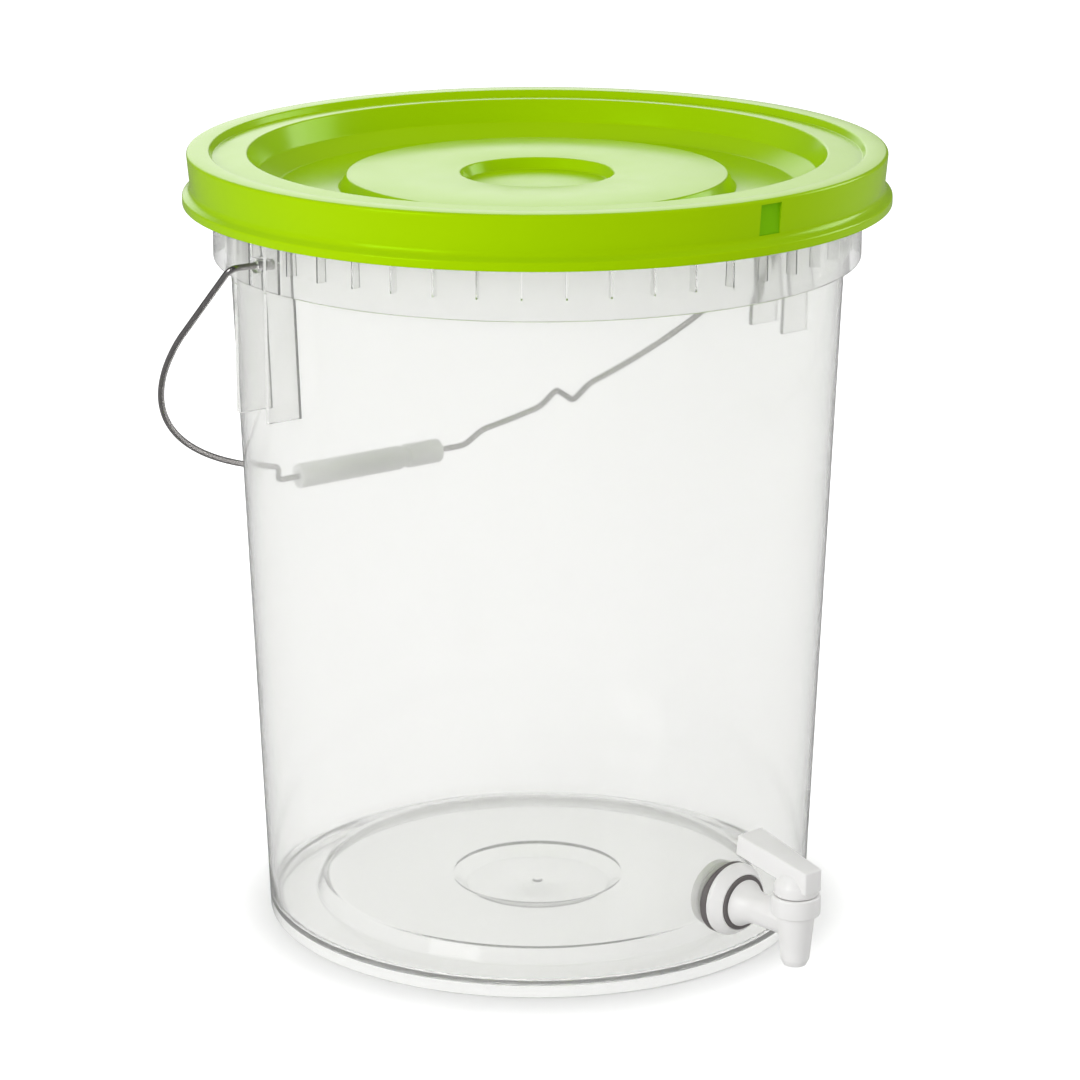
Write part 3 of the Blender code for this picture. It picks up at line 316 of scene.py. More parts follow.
OUTER_WASHER_FACE = TAP_WALL + wall_rise(FLANGE_RADIUS) + OUTER_WASHER_LEAST
INNER_WASHER_FACE = TAP_WALL_INSIDE - wall_fall(NUT_RADIUS) - INNER_WASHER_LEAST
NUT_FACE = INNER_WASHER_FACE - GAP
SHANK_END = NUT_FACE - NUT_THICKNESS - SHANK_END_BEYOND_NUT
FLANGE_BACK = OUTER_WASHER_FACE + GAP
FLANGE_FRONT = FLANGE_BACK + FLANGE_THICKNESS
SEAL_BACK = FLANGE_FRONT - SEAL_SEAT_DEPTH + GAP
SEAL_FRONT = SEAL_BACK + SEAL_THICKNESS
NECK_BACK = SEAL_FRONT + GAP
TAIL_END = NECK_BACK - TAIL_LENGTH

# Tap, worked out up and down from its level axis
SPOUT_TIP_HEIGHT = TAP_HEIGHT - SPOUT_DROP
SPOUT_TIP_RADIUS = SPOUT_LOW_RADIUS - SPOUT_TIP_STEP
CAP_RING_RADIUS = BARREL_RADIUS + CAP_RING_STEP
CAP_RING_BOTTOM = TAP_HEIGHT + CAP_RING_RISE
CAP_RING_TOP = CAP_RING_BOTTOM + CAP_RING_HEIGHT
PLUG_BORE_RADIUS = PLUG_RADIUS + GAP
PLUG_FOOT_HEIGHT = TAP_HEIGHT - PLUG_FOOT_DROP
HUB_BOTTOM = CAP_RING_TOP + GAP
HUB_TOP = HUB_BOTTOM + HUB_HEIGHT
TENON_TOP = HUB_TOP - HUB_ROOF - GAP
BAR_OUTER_BOTTOM = HUB_TOP - BAR_SINK
BAR_OUTER_END = HUB_RADIUS + BAR_OVERHANG


# Finishes: pairs of tones and of roughness, each from low to high, and the scales of the noise
CLEAR_TONES = ((0.962, 0.962, 0.956), (0.99, 0.99, 0.983))
CLEAR_SCALE = 5
CLEAR_STRETCH = (1, 1, 0.15)
CLEAR_ROUGHNESS = (0.02, 0.07)
CLEAR_GLOSS_SCALE = 30
CLEAR_GLOSS_STRETCH = (1, 1, 0.3)
CLEAR_IOR = 1.28
CLEAR_SHARE = 0.88
CLEAR_DEPTH_TONE = (0.5, 0.5, 0.49, 1)
CLEAR_DENSITY = 2.2
LIME_TONES = ((0.35, 0.62, 0.0005), (0.43, 0.70, 0.001))
# Painted reflection: a darker green painted on the lid's inset, standing in for a dark reflection
# on the skirt
LIME_INSET_PAINTED_REFLECTION_TONE = (0.22, 0.58, 0.0005)
LIME_SCALE = 9
LIME_ROUGHNESS = (0.14, 0.24)
LIME_GLOSS_SCALE = 60
LIME_IOR = 1.5
LIME_TINT = (0.25, 0.65, 0.0, 1)
LIME_GRAIN = 0.06
LIME_GRAIN_SCALE = 900
WIRE_TONES = ((0.34, 0.32, 0.32), (0.55, 0.53, 0.525))
WIRE_SCALE = 260
WIRE_ROUGHNESS = (0.18, 0.32)
WIRE_GLOSS_SCALE = 420
GRIP_TONES = ((0.92, 0.92, 0.91), (0.97, 0.97, 0.96))
GRIP_ROUGHNESS = (0.35, 0.5)
TAP_TONES = ((0.91, 0.90, 0.89), (0.96, 0.95, 0.94))
TAP_ROUGHNESS = (0.28, 0.4)
RUBBER_TONES = ((0.14, 0.125, 0.125), (0.19, 0.175, 0.175))
RUBBER_ROUGHNESS = (0.6, 0.8)
PALE_RUBBER_TONES = ((0.72, 0.71, 0.69), (0.78, 0.77, 0.75))
PALE_RUBBER_ROUGHNESS = (0.5, 0.7)
MOULDED_SCALE = 120
MOULDED_GLOSS_SCALE = 360
MOULDED_GRAIN = 0.1
MOULDED_GRAIN_SCALE = 2500
GRAIN_HEIGHT = 0.02 * MM
SUBSURFACE_SHARE = 0.2
SUBSURFACE_REACH = 2 * MM

# Colour sockets of a mix node, whose names repeat
COLOUR_A = 6
COLOUR_B = 7
COLOUR_OUT = 2

# Stage and light: tones and glows are for other, camera, glossy and transmission rays, and the
# painted glow that fades the floor's shadow and the softbox each have a start, an end and the
# values at both
FLOOR_SIZE = 12
FLOOR_DROP = 0.2 * MM
FLOOR_ROUGHNESS = 0.9
FLOOR_TONES = (0.82, 0.6, 0.3, 0.4)
FLOOR_GLOW = (0.0, 0.38, 0.0, 0.82)
# Painted light: the floor's glow rises with the distance from the bucket, so that its shadow fades
# out close to the foot
FLOOR_PAINTED_GLOW = (0.125, 0.174, 0.0, 0.45)
PAINTED_GLOW_SHIFT = (0, -0.004, 0)
WORLD_GLOW = (0.6, 1.0, 0.1, 0.95)
SOFTBOX_TOWARDS = (0.42, 0.86, 0.29)
SOFTBOX_REACH = (0.9, 0.99, 0.0, 1.5)
LIGHT_TARGET = (0, 0, 0.2)
KEY_PLACE = (-2.5, -0.4, 1.2)
KEY_SIZE = 1.2
KEY_POWER = 30
SIDE_PLACE = (2.4, -0.5, 1.3)
SIDE_SIZE = 1.2
SIDE_POWER = 18

# Camera, as fitted to the photo
CAMERA_DISTANCE = 1.79264
CAMERA_HEIGHT = 0.70869
CAMERA_AZIMUTH = math.radians(36)
CAMERA_DOWN = math.radians(16.3237)
CAMERA_ASIDE = math.radians(0.0402)
LENS = 128.38
SENSOR_WIDTH = 36
VIEW_REACH = 100

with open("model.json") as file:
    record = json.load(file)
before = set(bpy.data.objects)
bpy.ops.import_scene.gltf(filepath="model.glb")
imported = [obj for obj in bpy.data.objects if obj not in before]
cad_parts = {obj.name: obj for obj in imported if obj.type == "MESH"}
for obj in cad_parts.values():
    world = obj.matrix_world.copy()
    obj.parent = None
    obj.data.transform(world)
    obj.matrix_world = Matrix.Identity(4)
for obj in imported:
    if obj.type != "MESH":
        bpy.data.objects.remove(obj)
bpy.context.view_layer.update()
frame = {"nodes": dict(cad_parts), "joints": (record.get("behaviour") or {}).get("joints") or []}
nodes = frame["nodes"]
joints = {joint["name"]: joint for joint in frame["joints"]}
AXIS = Vector((joints["bail_swing"]["pos_m"][0], joints["bail_swing"]["pos_m"][1], 0))

# Places of the tap and the bail about the bucket's axis, and two turns that tip an upright one
TAP_PLACE = Matrix.Rotation(TAP_TURN, 4, "Z")
ONTO_Y = Matrix.Rotation(math.pi / 2, 4, "X")
ONTO_X = Matrix.Rotation(math.pi / 2, 4, "Y")
SHANK_PLACE = TAP_PLACE @ Matrix.Translation((0, 0, TAP_HEIGHT)) @ ONTO_Y
PLUG_PLACE = TAP_PLACE @ Matrix.Translation((0, -TAP_CENTRE, 0))
BAIL_PLACE = Matrix.Translation((0, 0, EAR_HEIGHT)) @ Matrix.Rotation(-BAIL_REST_ANGLE, 4, "X")
GRIP_PLACE = BAIL_PLACE @ Matrix.Translation((0, BAIL_REACH, 0)) @ ONTO_X


def filleted(corners, steps=FILLET_STEPS):
    """Points through (radius, height, fillet) corners, each rounded by its own fillet."""
    path = []
    for index, (radius, height, fillet) in enumerate(corners):
        corner = Vector((radius, height))
        if not fillet:
            path.append(corner)
            continue
        back = Vector(corners[index - 1][:2]) - corner
        forth = Vector(corners[(index + 1) % len(corners)][:2]) - corner
        half = back.angle(forth) / 2
        reach = min(fillet / math.tan(half), min(back.length, forth.length) * FILLET_SHARE)
        start = corner + back.normalized() * reach
        end = corner + forth.normalized() * reach
        middle = (start + end) / 2
        true_radius = reach * math.tan(half)
        centre = corner + (middle - corner).normalized() * math.hypot(reach, true_radius)
        first, last = start - centre, end - centre
        sweep = first.angle_signed(last)
        for step in range(steps + 1):
            turn = Matrix.Rotation(-sweep * step / steps, 2)
            path.append(centre + turn @ first)
    return path


def finish_mesh(bm, name, place=None):
    """Turns a bmesh into a mesh with its faces out and its round faces smooth."""
    bmesh.ops.remove_doubles(bm, verts=bm.verts, dist=MERGE_DISTANCE)
    bmesh.ops.recalc_face_normals(bm, faces=bm.faces)
    mesh = bpy.data.meshes.new(name)
    bm.to_mesh(mesh)
    bm.free()
    if place:
        mesh.transform(place)
    mesh.shade_smooth()
    mesh.set_sharp_from_angle(angle=SHARP_ANGLE)
    return mesh


def turned_mesh(name, path, steps=ROUND_STEPS, place=None):
    """A solid of revolution about Z through (radius, height) points, then put in its place."""
    bm = bmesh.new()
    points = [bm.verts.new((max(point[0], 0), 0, point[1])) for point in path]
    pairs = list(zip(points, points[1:]))
    if path[0][0] > 0:
        pairs.append((points[-1], points[0]))
    edges = [bm.edges.new(pair) for pair in pairs]
    bmesh.ops.spin(
        bm,
        geom=points + edges,
        cent=(0, 0, 0),
        axis=(0, 0, 1),
        angle=math.tau,
        steps=steps,
        use_merge=True,
    )
    return finish_mesh(bm, name, place)


def bridge(bm, first, second):
    """Closes a solid between two outlines with as many points each."""
    bm.faces.new(first)
    bm.faces.new(second)
    for index in range(len(first)):
        bm.faces.new([first[index - 1], first[index], second[index], second[index - 1]])


def plate_into(bm, outline, thickness, turn=0.0):
    """Adds an upright plate from its (x, z) side outline, turned about Z."""
    place = Matrix.Rotation(turn, 3, "Z")
    first, second = (
        [bm.verts.new(place @ Vector((x, side * thickness / 2, z))) for x, z in outline]
        for side in (-1, 1)
    )
    bridge(bm, first, second)


def rod_into(bm, start, direction, length, radius, steps=TUBE_STEPS):
    """Adds a round rod from a point along a direction."""
    turn = Vector(direction).to_track_quat("Z", "Y").to_matrix().to_4x4()
    place = Matrix.Translation(start) @ turn @ Matrix.Translation((0, 0, length / 2))
    bmesh.ops.create_cone(
        bm,
        cap_ends=True,
        segments=steps,
        radius1=radius,
        radius2=radius,
        depth=length,
        matrix=place,
    )


def piece(name, mesh, surface, body, replaces):
    """Links a finished mesh on the bucket's axis, and makes it ride in place of a node."""
    made = bpy.data.objects.new(name, mesh)
    bpy.context.scene.collection.objects.link(made)
    made.location = AXIS
    mesh.name = name
    mesh.materials.append(surface)
    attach(made, body)
    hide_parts(replaces)
    return made


def combined(base, steps):
    """The mesh that a chain of exact Booleans makes from meshes."""
    scene = bpy.context.scene
    target = bpy.data.objects.new("combining", base)
    scene.collection.objects.link(target)
    helpers = []
    for operation, mesh in steps:
        other = bpy.data.objects.new(mesh.name, mesh)
        scene.collection.objects.link(other)
        helpers.append(other)
        modifier = target.modifiers.new(mesh.name, "BOOLEAN")
        modifier.operation = operation
        modifier.object = other
        modifier.solver = "EXACT"
    bpy.context.view_layer.update()
    graph = bpy.context.evaluated_depsgraph_get()
    result = bpy.data.meshes.new_from_object(target.evaluated_get(graph))
    for item in [target] + helpers:
        bpy.data.objects.remove(item)
    result.shade_smooth()
    result.set_sharp_from_angle(angle=SHARP_ANGLE)
    result.materials.clear()
    return result


# Materials


def new_material(name):
    """A material with its node tree and its shader."""
    made = bpy.data.materials.new(name)
    made.use_nodes = True
    tree = made.node_tree
    return made, tree, tree.nodes["Principled BSDF"]


def noise(tree, scale, detail=3.0, stretch=(1, 1, 1)):
    """A noise texture in the piece's own space."""
    place = tree.nodes.new("ShaderNodeTexCoord")
    mapping = tree.nodes.new("ShaderNodeMapping")
    mapping.inputs["Scale"].default_value = stretch
    texture = tree.nodes.new("ShaderNodeTexNoise")
    texture.inputs["Scale"].default_value = scale
    texture.inputs["Detail"].default_value = detail
    tree.links.new(place.outputs["Object"], mapping.inputs["Vector"])
    tree.links.new(mapping.outputs["Vector"], texture.inputs["Vector"])
    return texture.outputs["Fac"]


def ramp(tree, source, low, high):
    """Maps a 0 to 1 value onto a range."""
    node = tree.nodes.new("ShaderNodeMapRange")
    node.inputs["To Min"].default_value = low
    node.inputs["To Max"].default_value = high
    tree.links.new(source, node.inputs["Value"])
    return node.outputs["Result"]


def mixed_colour(tree, factor, first, second):
    """A colour between two, by a factor."""
    node = tree.nodes.new("ShaderNodeMix")
    node.data_type = "RGBA"
    node.inputs[COLOUR_A].default_value = (*first, 1)
    node.inputs[COLOUR_B].default_value = (*second, 1)
    tree.links.new(factor, node.inputs[0])
    return node.outputs[COLOUR_OUT]


def bumped(tree, shader, source, strength, distance):
    """Adds a bump from a height source."""
    node = tree.nodes.new("ShaderNodeBump")
    node.inputs["Strength"].default_value = strength
    node.inputs["Distance"].default_value = distance
    tree.links.new(source, node.inputs["Height"])
    tree.links.new(node.outputs["Normal"], shader.inputs["Normal"])


def clear_plastic():
    """Clear polypropylene: nearly colourless, milky, slightly uneven from top to bottom."""
    made, tree, shader = new_material("clear_plastic")
    streaks = noise(tree, CLEAR_SCALE, 1, stretch=CLEAR_STRETCH)
    tree.links.new(mixed_colour(tree, streaks, *CLEAR_TONES), shader.inputs["Base Color"])
    shader.inputs["IOR"].default_value = CLEAR_IOR
    shader.inputs["Transmission Weight"].default_value = CLEAR_SHARE
    gloss = noise(tree, CLEAR_GLOSS_SCALE, stretch=CLEAR_GLOSS_STRETCH)
    tree.links.new(ramp(tree, gloss, *CLEAR_ROUGHNESS), shader.inputs["Roughness"])
    volume = tree.nodes.new("ShaderNodeVolumeAbsorption")
    volume.inputs["Color"].default_value = CLEAR_DEPTH_TONE
    volume.inputs["Density"].default_value = CLEAR_DENSITY
    tree.links.new(volume.outputs["Volume"], tree.nodes["Material Output"].inputs["Volume"])
    return made


def painted_reflection_mask(tree):
    """One on the lid's inset, where a darker reflection is painted, zero elsewhere."""
    middle = Vector((LID_WAIST_RADIUS, 0, LID_HEIGHT - INSET_BELOW_TOP - INSET_HEIGHT / 2))
    turn = Matrix.Rotation(INSET_TURN, 3, "Z")
    local = tree.nodes.new("ShaderNodeMapping")
    local.vector_type = "TEXTURE"
    local.inputs["Location"].default_value = turn @ middle
    local.inputs["Rotation"].default_value = (0, 0, INSET_TURN)
    local.inputs["Scale"].default_value = (INSET_REACH, INSET_WIDTH / 2, INSET_HEIGHT / 2)
    place = tree.nodes.new("ShaderNodeTexCoord").outputs["Object"]
    tree.links.new(place, local.inputs["Vector"])
    apart = tree.nodes.new("ShaderNodeSeparateXYZ")
    tree.links.new(local.outputs["Vector"], apart.inputs["Vector"])
    mask = None
    for side in ("X", "Y", "Z"):
        inside = tree.nodes.new("ShaderNodeMath")
        inside.operation = "COMPARE"
        inside.inputs[1].default_value = 0.0
        inside.inputs[2].default_value = 1.0
        tree.links.new(apart.outputs[side], inside.inputs[0])
        if mask:
            both = tree.nodes.new("ShaderNodeMath")
            both.operation = "MULTIPLY"
            tree.links.new(mask, both.inputs[0])
            tree.links.new(inside.outputs["Value"], both.inputs[1])
            mask = both.outputs["Value"]
        else:
            mask = inside.outputs["Value"]
    return mask


def lime_plastic():
    """Glossy lime green, with faint moulding variation and a darker painted reflection on the
    lid's inset.
    """
    made, tree, shader = new_material("lime_plastic")
    tone = mixed_colour(tree, noise(tree, LIME_SCALE), *LIME_TONES)
    # Painted reflection: the darker tone that is painted on the inset
    inset = mixed_colour(tree, painted_reflection_mask(tree), (0, 0, 0), LIME_INSET_PAINTED_REFLECTION_TONE)
    tree.links.new(tone, inset.node.inputs[COLOUR_A])
    tree.links.new(inset, shader.inputs["Base Color"])
    gloss = noise(tree, LIME_GLOSS_SCALE, 4)
    tree.links.new(ramp(tree, gloss, *LIME_ROUGHNESS), shader.inputs["Roughness"])
    shader.inputs["IOR"].default_value = LIME_IOR
    shader.inputs["Specular Tint"].default_value = LIME_TINT
    bumped(tree, shader, noise(tree, LIME_GRAIN_SCALE, 2), LIME_GRAIN, GRAIN_HEIGHT)
    return made


def galvanised():
    """Zinc on drawn wire, slightly mottled."""
    made, tree, shader = new_material("galvanised_wire")
    tone = mixed_colour(tree, noise(tree, WIRE_SCALE, 5), *WIRE_TONES)
    tree.links.new(tone, shader.inputs["Base Color"])
    shader.inputs["Metallic"].default_value = 1.0
    gloss = noise(tree, WIRE_GLOSS_SCALE)
    tree.links.new(ramp(tree, gloss, *WIRE_ROUGHNESS), shader.inputs["Roughness"])
    return made


def moulded(name, tones, roughness, subsurface=0.0):
    """A plain moulded plastic or rubber: small changes of tone and gloss, and a fine grain."""
    made, tree, shader = new_material(name)
    tone = mixed_colour(tree, noise(tree, MOULDED_SCALE), *tones)
    tree.links.new(tone, shader.inputs["Base Color"])
    gloss = noise(tree, MOULDED_GLOSS_SCALE, 4)
    tree.links.new(ramp(tree, gloss, *roughness), shader.inputs["Roughness"])
    bumped(tree, shader, noise(tree, MOULDED_GRAIN_SCALE, 2), MOULDED_GRAIN, GRAIN_HEIGHT)
    shader.inputs["Subsurface Weight"].default_value = subsurface
    shader.inputs["Subsurface Radius"].default_value = (SUBSURFACE_REACH,) * 3
    shader.inputs["Subsurface Scale"].default_value = 1.0
    return made


CLEAR = clear_plastic()
LIME = lime_plastic()
WIRE = galvanised()
GRIP = moulded("grip_plastic", GRIP_TONES, GRIP_ROUGHNESS, SUBSURFACE_SHARE)
TAP = moulded("tap_plastic", TAP_TONES, TAP_ROUGHNESS, SUBSURFACE_SHARE)
RUBBER = moulded("dark_rubber", RUBBER_TONES, RUBBER_ROUGHNESS)
PALE_RUBBER = moulded("pale_rubber", PALE_RUBBER_TONES, PALE_RUBBER_ROUGHNESS)


# Bucket


def bucket_corners():
    """The bucket's section: the inside up from the floor, over the rim, down, and back under.

    Rings just past the ribs, fins and tap hole keep the faces that are cut there small.
    """
    hole = SHANK_RADIUS + SHANK_CLEARANCE + RING_MARGIN
    rings = [
        TAP_HEIGHT - hole,
        TAP_HEIGHT + hole,
        FIN_BOTTOM_HEIGHT - RING_MARGIN,
        RIB_BOTTOM_HEIGHT - RING_MARGIN,
    ]
    web_under = WEB_HEIGHT - WEB_THICKNESS
    rim_under = RIM_HEIGHT - RIM_THICKNESS
    lip_inner = RIM_LIP_RADIUS - RIM_THICKNESS
    lip_bottom = RIM_HEIGHT - RIM_LIP_DEPTH
    foot_inner = BASE_RADIUS - FOOT_THICKNESS
    under = FLOOR_THICKNESS
    return [
        (0, DISC_HEIGHT + GATE_HEIGHT, 0),
        (GATE_RADIUS, DISC_HEIGHT + GATE_HEIGHT, FINE_EDGE),
        (GATE_RADIUS, DISC_HEIGHT, FINE_EDGE),
        (DISC_RADIUS, DISC_HEIGHT, SOFT_EDGE),
        (SINK_RADIUS, SINK_RIM_HEIGHT, SOFT_EDGE),
        (PLATEAU_RADIUS, PLATEAU_HEIGHT, SOFT_EDGE),
        (GUTTER_RADIUS, FLOOR_HEIGHT, SOFT_EDGE),
        (wall_inside(FLOOR_HEIGHT), FLOOR_HEIGHT, FLOOR_CORNER),
        *[(wall_inside(height), height, 0) for height in rings],
        (wall_inside(RIM_HEIGHT), RIM_HEIGHT, FINE_EDGE),
        (RIM_LIP_RADIUS, RIM_HEIGHT, SOFT_EDGE),
        (RIM_LIP_RADIUS, lip_bottom, FINE_EDGE),
        (lip_inner, lip_bottom, FINE_EDGE),
        (lip_inner, rim_under, FINE_EDGE),
        (wall_outside(rim_under), rim_under, FINE_EDGE),
        (wall_outside(WEB_HEIGHT), WEB_HEIGHT, FINE_EDGE),
        (COLLAR_RADIUS, WEB_HEIGHT, SOFT_EDGE),
        (COLLAR_RADIUS, SHOULDER_HEIGHT, FINE_EDGE),
        (COLLAR_INNER_RADIUS, SHOULDER_HEIGHT, FINE_EDGE),
        (COLLAR_INNER_RADIUS, web_under, FINE_EDGE),
        (wall_outside(web_under), web_under, FINE_EDGE),
        *[(wall_outside(height), height, 0) for height in rings[::-1]],
        (BASE_RADIUS, 0, SOFT_EDGE),
        (foot_inner, 0, FINE_EDGE),
        (foot_inner, FLOOR_HEIGHT - under, FINE_EDGE),
        (GUTTER_RADIUS - under, FLOOR_HEIGHT - under, SOFT_EDGE),
        (PLATEAU_RADIUS - under, PLATEAU_HEIGHT - under, SOFT_EDGE),
        (SINK_RADIUS, SINK_RIM_HEIGHT - under, SOFT_EDGE),
        (DISC_RADIUS, DISC_HEIGHT - under, SOFT_EDGE),
        (0, DISC_HEIGHT - under, 0),
    ]


def wall_middle(height, aside=0.0):
    """The middle of the wall at a height, at a distance aside from the axis."""
    return math.sqrt((wall_outside(height) - WALL_THICKNESS / 2) ** 2 - aside**2)


def rib_mesh():
    """The upright ribs between wall and collar, left out between the fins."""
    bm = bmesh.new()
    outer = COLLAR_RADIUS - COLLAR_THICKNESS / 2
    top = WEB_HEIGHT - WEB_THICKNESS / 2
    outline = [
        (wall_middle(RIB_BOTTOM_HEIGHT), RIB_BOTTOM_HEIGHT),
        (outer, RIB_BOTTOM_HEIGHT),
        (outer, top),
        (wall_middle(top), top),
    ]
    fin_half_angle = math.asin((FIN_SPACING / 2 + FIN_THICKNESS) / COLLAR_RADIUS)
    for number in range(RIB_COUNT):
        turn = RIB_PHASE + math.tau * number / RIB_COUNT
        from_ear = abs(math.remainder(turn, math.pi))
        if from_ear <= fin_half_angle:
            continue
        plate_into(bm, outline, SHOWN_RIB_THICKNESS, turn)
    return finish_mesh(bm, "ribs")


def ear_mesh():
    """The two ears: a pair of long upright fins under one tab, rooted in the wall."""
    bm = bmesh.new()
    inner = (FIN_SPACING - FIN_THICKNESS) / 2
    outer = (FIN_SPACING + FIN_THICKNESS) / 2
    bottom = FIN_BOTTOM_HEIGHT
    under = WEB_HEIGHT - WEB_THICKNESS + TAB_INSET
    top = WEB_HEIGHT - TAB_INSET
    right = [(inner, under), (inner, bottom), (outer, bottom), (outer, top)]
    outline = right + [(-aside, height) for aside, height in right[::-1]]
    root = wall_middle(bottom, FIN_SPACING / 2)
    for side in (-1, 1):
        root_points = [
            bm.verts.new((side * (root + TAPER * (height - bottom)), aside, height))
            for aside, height in outline
        ]
        tip_points = [bm.verts.new((side * FIN_REACH, aside, height)) for aside, height in outline]
        bridge(bm, root_points, tip_points)
    return finish_mesh(bm, "ears")


def boss_mesh():
    """The boss round each wire hole."""
    bm = bmesh.new()
    start = COLLAR_RADIUS - COLLAR_THICKNESS / 2
    for side in (-1, 1):
        place = (side * start, 0, EAR_HEIGHT)
        rod_into(bm, place, (side, 0, 0), BOSS_REACH - start, BOSS_RADIUS)
    return finish_mesh(bm, "bosses")


def hole_mesh():
    """The wire holes and the tap's hole."""
    bm = bmesh.new()
    start = COLLAR_INNER_RADIUS - OVERRUN
    for side in (-1, 1):
        length = BOSS_REACH - start + OVERRUN
        rod_into(bm, (side * start, 0, EAR_HEIGHT), (side, 0, 0), length, WIRE_HOLE_RADIUS)
    outward = Vector((math.sin(TAP_TURN), -math.cos(TAP_TURN), 0))
    place = outward * (TAP_WALL_INSIDE - OVERRUN) + Vector((0, 0, TAP_HEIGHT))
    length = WALL_THICKNESS + 2 * OVERRUN
    rod_into(bm, place, outward, length, SHANK_RADIUS + SHANK_CLEARANCE)
    return finish_mesh(bm, "holes")


def make_bucket():
    """The clear bucket."""
    base = turned_mesh("bucket_base", filleted(bucket_corners()))
    steps = [("UNION", shape) for shape in (rib_mesh(), ear_mesh(), boss_mesh())]
    mesh = combined(base, steps + [("DIFFERENCE", hole_mesh())])
    piece("bucket_shell", mesh, CLEAR, "bucket", "bucket")


# Lid


def lid_corners():
    """The lid's section: its top from the centre out, down the skirt, and back underneath."""
    top = LID_HEIGHT
    groove = top - LID_GROOVE_DEPTH
    shelf = top - LID_SHELF_DEPTH
    floor = top - LID_WELL_DEPTH
    well_mid = floor + LID_WELL_LOWER_RISE
    disc = floor + LID_DISC_RISE
    recess = disc - LID_RECESS_DEPTH
    thick = LID_THICKNESS
    bottom = LIP_BOTTOM_HEIGHT
    lip_top = bottom + LID_LIP_DEPTH
    bead = lip_top + LID_EDGE_ROUND
    plug_inner = PLUG_RING_RADIUS - thick
    plug_bottom = groove - thick - PLUG_RING_DEPTH
    return [
        (0, recess, 0),
        (LID_RECESS_RADIUS - LID_RECESS_RUN, recess, SOFT_EDGE),
        (LID_RECESS_RADIUS, disc, SOFT_EDGE),
        (LID_DISC_RADIUS, disc, SOFT_EDGE),
        (LID_DISC_FOOT_RADIUS, floor, SOFT_EDGE),
        (LID_WELL_FLOOR_RADIUS, floor, BROAD_EDGE),
        (LID_WELL_MID_RADIUS, well_mid, ROUND_EDGE),
        (LID_WELL_RADIUS, shelf, SOFT_EDGE),
        (LID_RIM_INNER_RADIUS - LID_GROOVE_RUN, groove, FINE_EDGE),
        (LID_RIM_INNER_RADIUS, top, SOFT_EDGE),
        (LID_RADIUS, top, LID_EDGE_ROUND),
        (LID_WAIST_RADIUS, lip_top + ROUND_EDGE, WAIST_EDGE),
        (LID_LIP_RADIUS, lip_top - FINE_EDGE, SOFT_EDGE),
        (LID_LIP_RADIUS, bottom, FINE_EDGE),
        (LID_LIP_RADIUS - thick, bottom, FINE_EDGE),
        (SKIRT_INNER_RADIUS, bead - SNAP_BEAD_HEIGHT / 2, FINE_EDGE),
        (SNAP_RADIUS, bead, FINE_EDGE),
        (SKIRT_INNER_RADIUS, bead + SNAP_BEAD_HEIGHT / 2, FINE_EDGE),
        (SKIRT_INNER_RADIUS, top - thick, FINE_EDGE),
        (LID_RIM_INNER_RADIUS + LID_GROOVE_RUN, top - thick, FINE_EDGE),
        (LID_RIM_INNER_RADIUS, groove - thick, FINE_EDGE),
        (PLUG_RING_RADIUS, groove - thick, FINE_EDGE),
        (PLUG_RING_RADIUS, plug_bottom, FINE_EDGE),
        (plug_inner, plug_bottom, FINE_EDGE),
        (plug_inner, groove - thick, FINE_EDGE),
        (LID_WELL_RADIUS + thick, shelf - thick, FINE_EDGE),
        (LID_WELL_MID_RADIUS + thick, well_mid - thick, ROUND_EDGE),
        (LID_WELL_FLOOR_RADIUS + thick / 2, floor - thick, BROAD_EDGE),
        (LID_DISC_FOOT_RADIUS - thick, floor - thick, SOFT_EDGE),
        (LID_DISC_RADIUS - thick, disc - thick, SOFT_EDGE),
        (LID_RECESS_RADIUS + thick, disc - thick, SOFT_EDGE),
        (LID_RECESS_RADIUS + thick - LID_RECESS_RUN, recess - thick, SOFT_EDGE),
        (0, recess - thick, 0),
    ]


def make_lid():
    """The lime lid, with a shallow inset on the skirt's front."""
    bm = bmesh.new()
    inner = LID_WAIST_RADIUS - INSET_DEPTH
    outer = LID_LIP_RADIUS + OVERRUN
    high = LID_HEIGHT - INSET_BELOW_TOP
    low = high - INSET_HEIGHT
    outline = [(inner, low), (outer, low), (outer, high), (inner, high)]
    plate_into(bm, outline, INSET_WIDTH, INSET_TURN)
    inset = finish_mesh(bm, "inset")
    mesh = combined(turned_mesh("lid_moulding", filleted(lid_corners())), [("DIFFERENCE", inset)])
    piece("lid_moulding", mesh, LIME, "lid", "lid")


# Bail


def rounded(corners, radius, steps=BEND_STEPS):
    """A path through corner points, each inner corner turned in a short arc."""
    path = [corners[0]]
    for before, corner, after in zip(corners, corners[1:], corners[2:]):
        back, forth = before - corner, after - corner
        reach = min(radius, back.length * BEND_SHARE, forth.length * BEND_SHARE)
        start = corner + back.normalized() * reach
        end = corner + forth.normalized() * reach
        for step in range(steps + 1):
            share = step / steps
            first = start.lerp(corner, share)
            second = corner.lerp(end, share)
            path.append(first.lerp(second, share))
    path.append(corners[-1])
    return path


def bow(width):
    """The reach of the bail's bow at a width from its middle."""
    return BAIL_LEG_REACH + BAIL_BOW_REACH * math.sqrt(1 - (width / BAIL_HALF_WIDTH) ** 2)


def bow_points(widest, narrowest, count):
    """Points along the bow between two widths, widest first."""
    start = math.acos(widest / BAIL_HALF_WIDTH)
    end = math.acos(narrowest / BAIL_HALF_WIDTH)
    widths = [
        BAIL_HALF_WIDTH * math.cos(start + (end - start) * step / count)
        for step in range(count + 1)
    ]
    return [Vector((width, bow(width), 0)) for width in widths]


